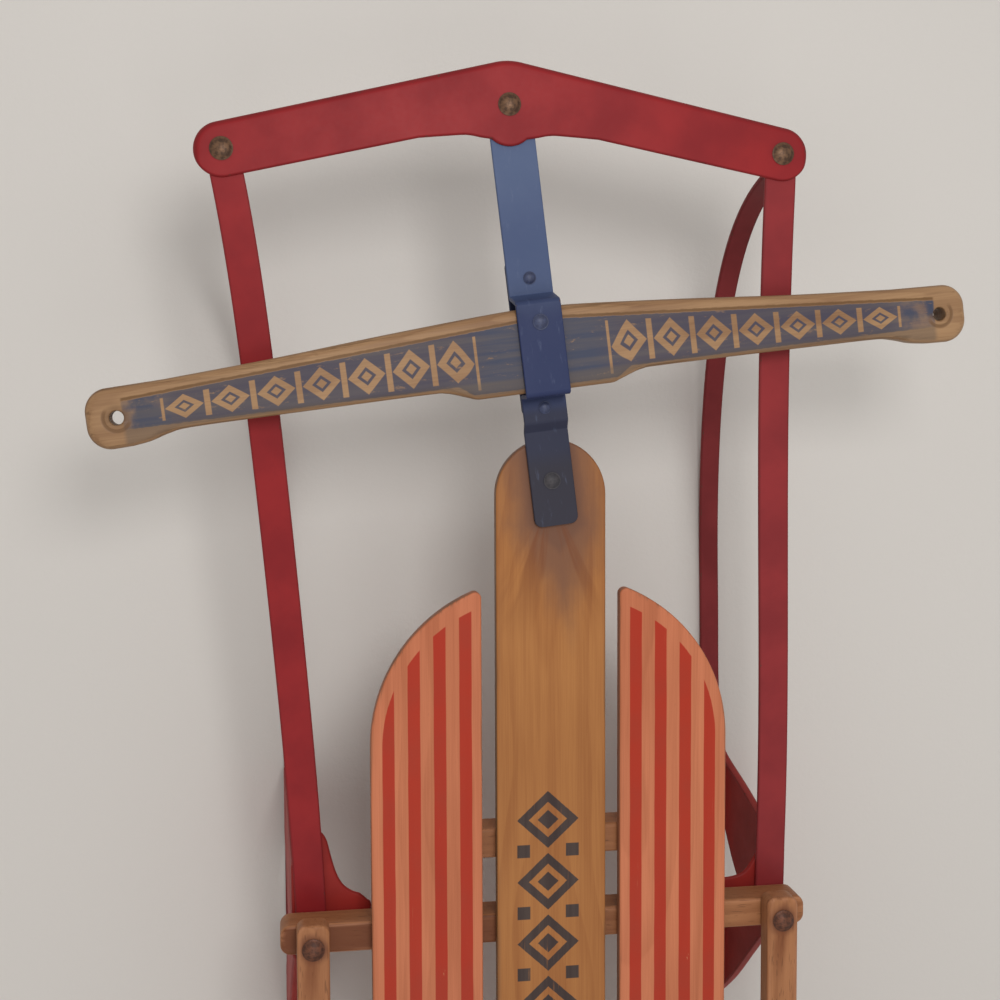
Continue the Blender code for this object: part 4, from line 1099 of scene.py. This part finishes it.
def bumper_half():
    """Right half of the bumper's outline about its centre rivet, front to rear."""
    front = arc(0.0, BUMPER_CENTRE_FRONT - BUMPER_NOSE_RADIUS, BUMPER_NOSE_RADIUS, 90, 77, 6)
    end = arc(BUMPER_HALF, -BUMPER_BOW, BUMPER_LOBE, 78, -100, 36)
    waist = smooth_line([(0.06, -0.0222), (0.04, -0.0206), (0.028, -0.02), (0.0175, -0.0218)], 5)
    lobe = arc(0.0, -0.0095, BUMPER_CENTRE_LOBE, -48, -90, 8)
    return front + end + waist[:-1] + lobe


def make_bumper():
    """Stamped crosspiece with its front edge and ends folded down."""
    outline = mirrored(bumper_half())
    lips = []
    for x, y in outline:
        ridge = -BUMPER_BOW * abs(x) / BUMPER_HALF
        lips.append(BUMPER_SHEET + BUMPER_LIP * ease(y - ridge, BUMPER_LIP_START, BUMPER_LIP_FULL))
    shell = pressed(outline, lips, BUMPER_FOLD, BUMPER_SHEET)
    place = Matrix.Translation((CENTRE_RIVET.x, CENTRE_RIVET.y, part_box("bumper_crosspiece")[1].z))
    place = place @ Matrix.Rotation(BUMPER_TURN, 4, "Z")
    finish = red_enamel("bumper_finish", RED, False, 0.3)
    settle(shell.piece("bumper", finish, place), "bumper", "red_steel", "bumper_crosspiece")


def leg_outline(foot, top):
    """Outline of a knee's leg, (forward of the beam, height) anticlockwise, and how many points get a rim."""
    corner_z = foot + KNEE_CORNER
    rimmed = smooth_line([
        (0.0742, corner_z), (0.0705, 0.019), (0.0672, 0.034), (0.06, 0.072), (0.048, top - 0.018),
        (0.044, top),
    ], 6)
    rimmed += smooth_line([
        (-0.0185, top), (-0.026, top - 0.0035), (-0.037, top - 0.016), (-0.066, 0.092),
        (-0.102, 0.052), (-0.127, 0.02), (-0.134, corner_z),
    ], 6)
    arch = smooth_line([
        (-0.086, corner_z), (-0.068, 0.025), (-0.048, 0.048), (-0.038, 0.0565), (-0.029, 0.0575),
        (-0.021, 0.051), (-0.0115, 0.038), (0.006, 0.019), (0.015, corner_z),
    ], 6)
    feet = [arc(centre, corner_z, KNEE_CORNER, start, end, 6) for centre, start, end in KNEE_FEET]
    points = rimmed + feet[0] + feet[1] + arch[1:-1] + feet[2] + feet[3]
    return points, len(rimmed)


def flange_outline(contour):
    """Outline of a knee's top flange, (out from the middle, forward of the beam) anticlockwise."""
    outer = FLANGE_OUT - FLANGE_CORNER
    inner = FLANGE_IN + FLANGE_CORNER
    points = arc(outer, -0.0135, FLANGE_CORNER, 290, 360, 5) + arc(outer, 0.04, FLANGE_CORNER, 0, 80, 5)
    points += smooth_line(contour, 5)
    points += arc(inner, 0.0105, FLANGE_CORNER, 110, 180, 5) + arc(inner, -0.0115, FLANGE_CORNER, 180, 260, 5)
    return points + smooth_line(FLANGE_REAR, 5)


def make_knee(node, side, facing, beam_y, contour):
    """Pressed steel knee: a leaning leg with folded edges and feet, and a flange under the beam."""
    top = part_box(node)[1].z
    foot = RUNNER_THICK + GAP
    finish = red_enamel(node + "_finish", RED_KNEE, False, 0.1)

    def add(ending, shell, spot):
        spots = [spot(*vert) for vert in shell.verts]
        shell.verts = [(MID_X + side * out, beam_y + facing * ahead, z) for out, ahead, z in spots]
        if side * facing < 0:
            shell.faces = [face[::-1] for face in shell.faces]
        settle(shell.piece(node + ending, finish), "deck", "red_steel", node)

    outline, rimmed = leg_outline(foot, top - 0.0012)
    lips = []
    for index, (_, height) in enumerate(outline):
        rim = KNEE_SHEET
        if index < rimmed:
            rim += (KNEE_RIM - KNEE_SHEET) * ease(height, top - 0.003, top - 0.014)
        lips.append(rim + (KNEE_TAB - rim) * ease(height, foot + 0.008, foot + 0.0005))

    def leaning(forward, height, out):
        lean = (height - foot) / (top - foot)
        return KNEE_FOOT_X + (KNEE_TOP_X - KNEE_FOOT_X) * lean + out, forward, height

    add("_leg", pressed(outline, lips, KNEE_FOLD, KNEE_SHEET), leaning)
    outline = flange_outline(contour)
    lips = [KNEE_SHEET + FLANGE_LIP * ease(out, 0.15, 0.17) for out, _ in outline]
    sheet = pressed(outline, lips, FLANGE_FOLD, KNEE_SHEET)
    add("_flange", sheet, lambda out, forward, height: (out, forward, top + height))


def make_knees():
    """Four knees, the rear pair facing the other way."""
    for end, facing in (("front", 1), ("rear", -1)):
        beam_y = middle(end + "_crossbeam").y
        make_knee(end + "_left_knee", -1, facing, beam_y, LEFT_FLANGE if facing > 0 else RIGHT_FLANGE)
        make_knee(end + "_right_knee", 1, facing, beam_y, RIGHT_FLANGE)


def bar_half():
    """Right half of the bar's outline about the pivot, front to rear."""
    front = smooth_line([(0.0, 0.1165), (0.03, 0.1155), (0.1, 0.1105), (0.175, 0.1042), (0.245, 0.0996)])
    corner_x = BAR_HOLE.x + BAR_LOBE - BAR_CORNER
    rise = BAR_LOBE - BAR_CORNER
    end = arc(corner_x, BAR_HOLE.y + rise, BAR_CORNER, 84, 0, 16)
    end += arc(corner_x, BAR_HOLE.y - rise, BAR_CORNER, 0, -94, 16)
    rear = smooth_line([(0.268, 0.06), (0.257, 0.0617), (0.245, 0.0652), (0.232, 0.0671), (0.19, 0.0677),
                        (0.15, 0.068), (0.08, 0.0684), (0.066, 0.0676), (0.057, 0.065)])
    rear += arc(0.044, 0.0735, 0.0125, -64, -90, 8) + [(0.022, 0.061), (0.0, 0.061)]
    return front + end + rear


def steered():
    """Place of the steering's own axes."""
    return Matrix.Translation((PIVOT.x, PIVOT.y, 0.0)) @ Matrix.Rotation(STEER, 4, "Z")


def make_steering():
    """Wooden bar and its upper strap."""
    low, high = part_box("steering_bar")
    holes = [circle(side * BAR_HOLE.x, BAR_HOLE.y, ROPE_HOLE) for side in (-1, 1)]
    bar = plate("bar", mirrored(bar_half()), low.z, high.z, BAR_EDGE, bar_wood(), steered(), holes, 6)
    settle(bar, "steering", "bar_wood", "steering_bar")
    deck = DECK_TOP + GAP + STRAP_THICK / 2
    over = high.z + GAP + STRAP_THICK / 2
    level = low.z + STRAP_THICK / 2
    corners = [
        (-STEER_TAIL, deck), (0.0345, deck), (0.0405, level), (0.0584, level), (0.0592, over),
        (0.1195, over), (0.1245, level), (REACH, level),
    ]
    path = [(0.0, y, z) for y, z in rounded_path(corners, STEER_BEND)]
    path, widths = round_tip(path, [STEER_WIDTH] * len(path))
    path, widths = round_tail(path, widths, STEER_CORNER)
    strap = sweep("steering_strap_upper", path, widths, STRAP_THICK, 0.0008, blue_enamel(), steered(),
                  (1, 0, 0))
    settle(strap, "steering", "blue_steel", "steering_strap")


# Colours, share of metal and roughness of each finish
METALS = {
    "bronze": ((116, 86, 64), (74, 54, 42), 0.6),
    "rail_bolt": ((108, 64, 44), (70, 40, 28), 0.4),
    "blued": ((56, 64, 94), (46, 52, 78), 0.1),
    "pivot": ((60, 56, 60), (46, 44, 50), 0.1, 0.4),
    "nail": ((84, 50, 36), (52, 32, 26), 0.5, 0.4),
    "red_rivet": ((120, 30, 34), (84, 22, 26), 0.1),
}

# Nodes, head radius, head height, shank radius, finish and slot
FASTENERS = (
    ([side + "_bumper_rivet" for side in ("left", "centre", "right")],
     0.0076, 0.0034, 0.003, "bronze", "bronze"),
    (rail_parts("bolt"), 0.0076, 0.0038, 0.003, "rail_bolt", "bronze"),
    (["front_strap_rivet", "rear_strap_rivet"], 0.0042, 0.0018, 0.003, "blued", "blue_steel"),
    (["bar_bolt"], 0.0052, 0.002, 0.003, "blued", "blue_steel"),
    (["pivot_bolt"], 0.0058, 0.0022, 0.003, "pivot", "blue_steel"),
    (["deck_nail_%d" % i for i in range(1, 9)], 0.003, 0.001, 0.0011, "nail", "bronze"),
    (["%s_knee_rivet_%d" % (side, i) for side in SIDES for i in range(1, 5)],
     0.0042, 0.0018, 0.0022, "red_rivet", "red_steel"),
)


def make_fasteners():
    """Domed rivets, bolts and flush nails."""
    finishes = {name: old_metal(name, *values) for name, values in METALS.items()}
    for nodes, head, height, shank, finish, slot in FASTENERS:
        for node in nodes:
            low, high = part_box(node)
            seat = high.z - height
            place = middle(node)
            place.z = seat
            profile = domed(head, height, shank, seat - low.z)
            piece = lathe(node + "_turned", profile, finishes[finish], place)
            settle(piece, BODY_OF.get(node, "deck"), slot, node)


def dress_nodes():
    """Finishes for the CAD nodes that stay."""
    zinc = old_metal("zinc", (150, 150, 152), (104, 102, 100), 0.9)
    plain = dict.fromkeys(("pivot_washer", "pivot_nut", *rail_parts("nut")), zinc)
    paint = Enamel("lower_strap_finish", (50, 56, 84), (40, 44, 66), BLUE_PRIMER, False)
    plain["lower_steering_strap"] = paint.done()
    for node, material in plain.items():
        slot = frame["nodes"][node].material_slots[0]
        slot.link = "OBJECT"
        slot.material = material


# Camera, floor and light

CAMERA_PLACE = Vector((-0.1728, 0.4027, 1.059))
CAMERA_YAW = radians(7.66)
CAMERA_PITCH = radians(3.24)
CAMERA_ROLL = radians(0.33)
LENS = 47.79
FRAME_SHIFT = (0.0425, -0.0501)
FLOOR_HALF = 14.0
FLOOR_DROP = 0.0004
FLOOR_TONES = ((211, 206, 200), (209, 204, 198))
SKY = (1.0, 0.995, 0.985, 1.0)
SKY_STRENGTH = 0.62
BACKGROUND = (206, 202, 196)

# Name, place, target, size and power
LAMPS = (
    ("key", (0.04, 0.72, 1.32), (0.04, 0.45, 0.0), 0.38, 5.9),
    ("rear", (0.1, -0.85, 2.3), (0.0, -0.3, 0.1), 1.2, 7.0),
)


def make_camera():
    """Camera of the photograph, above the sled's front half."""
    data = bpy.data.cameras.new("camera")
    data.lens = LENS
    data.sensor_width = 36.0
    data.sensor_fit = "HORIZONTAL"
    data.shift_x, data.shift_y = FRAME_SHIFT
    data.clip_start = 0.05
    camera = bpy.data.objects.new("camera", data)
    bpy.context.scene.collection.objects.link(camera)
    turn = (Matrix.Rotation(CAMERA_ROLL, 4, "Z") @ Matrix.Rotation(CAMERA_PITCH, 4, "X")
            @ Matrix.Rotation(CAMERA_YAW, 4, "Y")).transposed()
    camera.matrix_world = Matrix.Translation(CAMERA_PLACE) @ turn
    bpy.context.scene.camera = camera


def make_floor():
    """Large pale floor with a faint mottle."""
    paint = Surface("floor_finish")
    spot = paint.vector(*paint.object_axes())
    cloud = paint.noise(spot, 1.1, 2.0)
    paint.height = paint.noise(spot, 260.0, 4.0, 0.6)
    paint.colour = paint.mix(*FLOOR_TONES, cloud.rise(0.35, 0.65))
    paint.roughness = paint.height * 0.1 + 0.7
    mesh = bpy.data.meshes.new("floor")
    corners = [(x * FLOOR_HALF, y * FLOOR_HALF, 0) for x, y in ((-1, -1), (1, -1), (1, 1), (-1, 1))]
    mesh.from_pydata(corners, [], [(0, 1, 2, 3)])
    mesh.materials.append(paint.done())
    floor = bpy.data.objects.new("floor", mesh)
    floor.location.z = -FLOOR_DROP
    bpy.context.scene.collection.objects.link(floor)


def add_lamp(name, place, target, size, power):
    """Square area lamp aimed at a point."""
    data = bpy.data.lights.new(name, "AREA")
    data.size = size
    data.energy = power
    lamp = bpy.data.objects.new(name, data)
    lamp.location = place
    lamp.rotation_euler = (Vector(target) - Vector(place)).to_track_quat("-Z", "Y").to_euler()
    bpy.context.scene.collection.objects.link(lamp)


def make_light():
    """Soft lamp close above the bumper, a weaker one over the rear half, and an even grey world."""
    for lamp in LAMPS:
        add_lamp(*lamp)
    world = bpy.data.worlds.new("world")
    graph = Graph(world)
    light = graph.tree.nodes["Background"]
    light.inputs["Color"].default_value = SKY
    light.inputs["Strength"].default_value = SKY_STRENGTH
    shown = graph.add("Background", BACKGROUND)
    rays = graph.add("LightPath")
    kinds = (rays["Is Camera Ray"], rays["Is Glossy Ray"])
    seen = graph.add("Math", *kinds, operation="ADD", use_clamp=True)
    mixed = graph.add("MixShader", seen[0], light.outputs[0], shown[0])
    graph.plug(graph.tree.nodes["World Output"].inputs["Surface"], mixed[0])
    bpy.context.scene.world = world
    bpy.context.scene.view_settings.view_transform = "Standard"


make_boards()
make_beams()
make_braces()
make_runners()
make_bumper()
make_knees()
make_steering()
make_fasteners()
dress_nodes()
make_camera()
make_floor()
make_light()
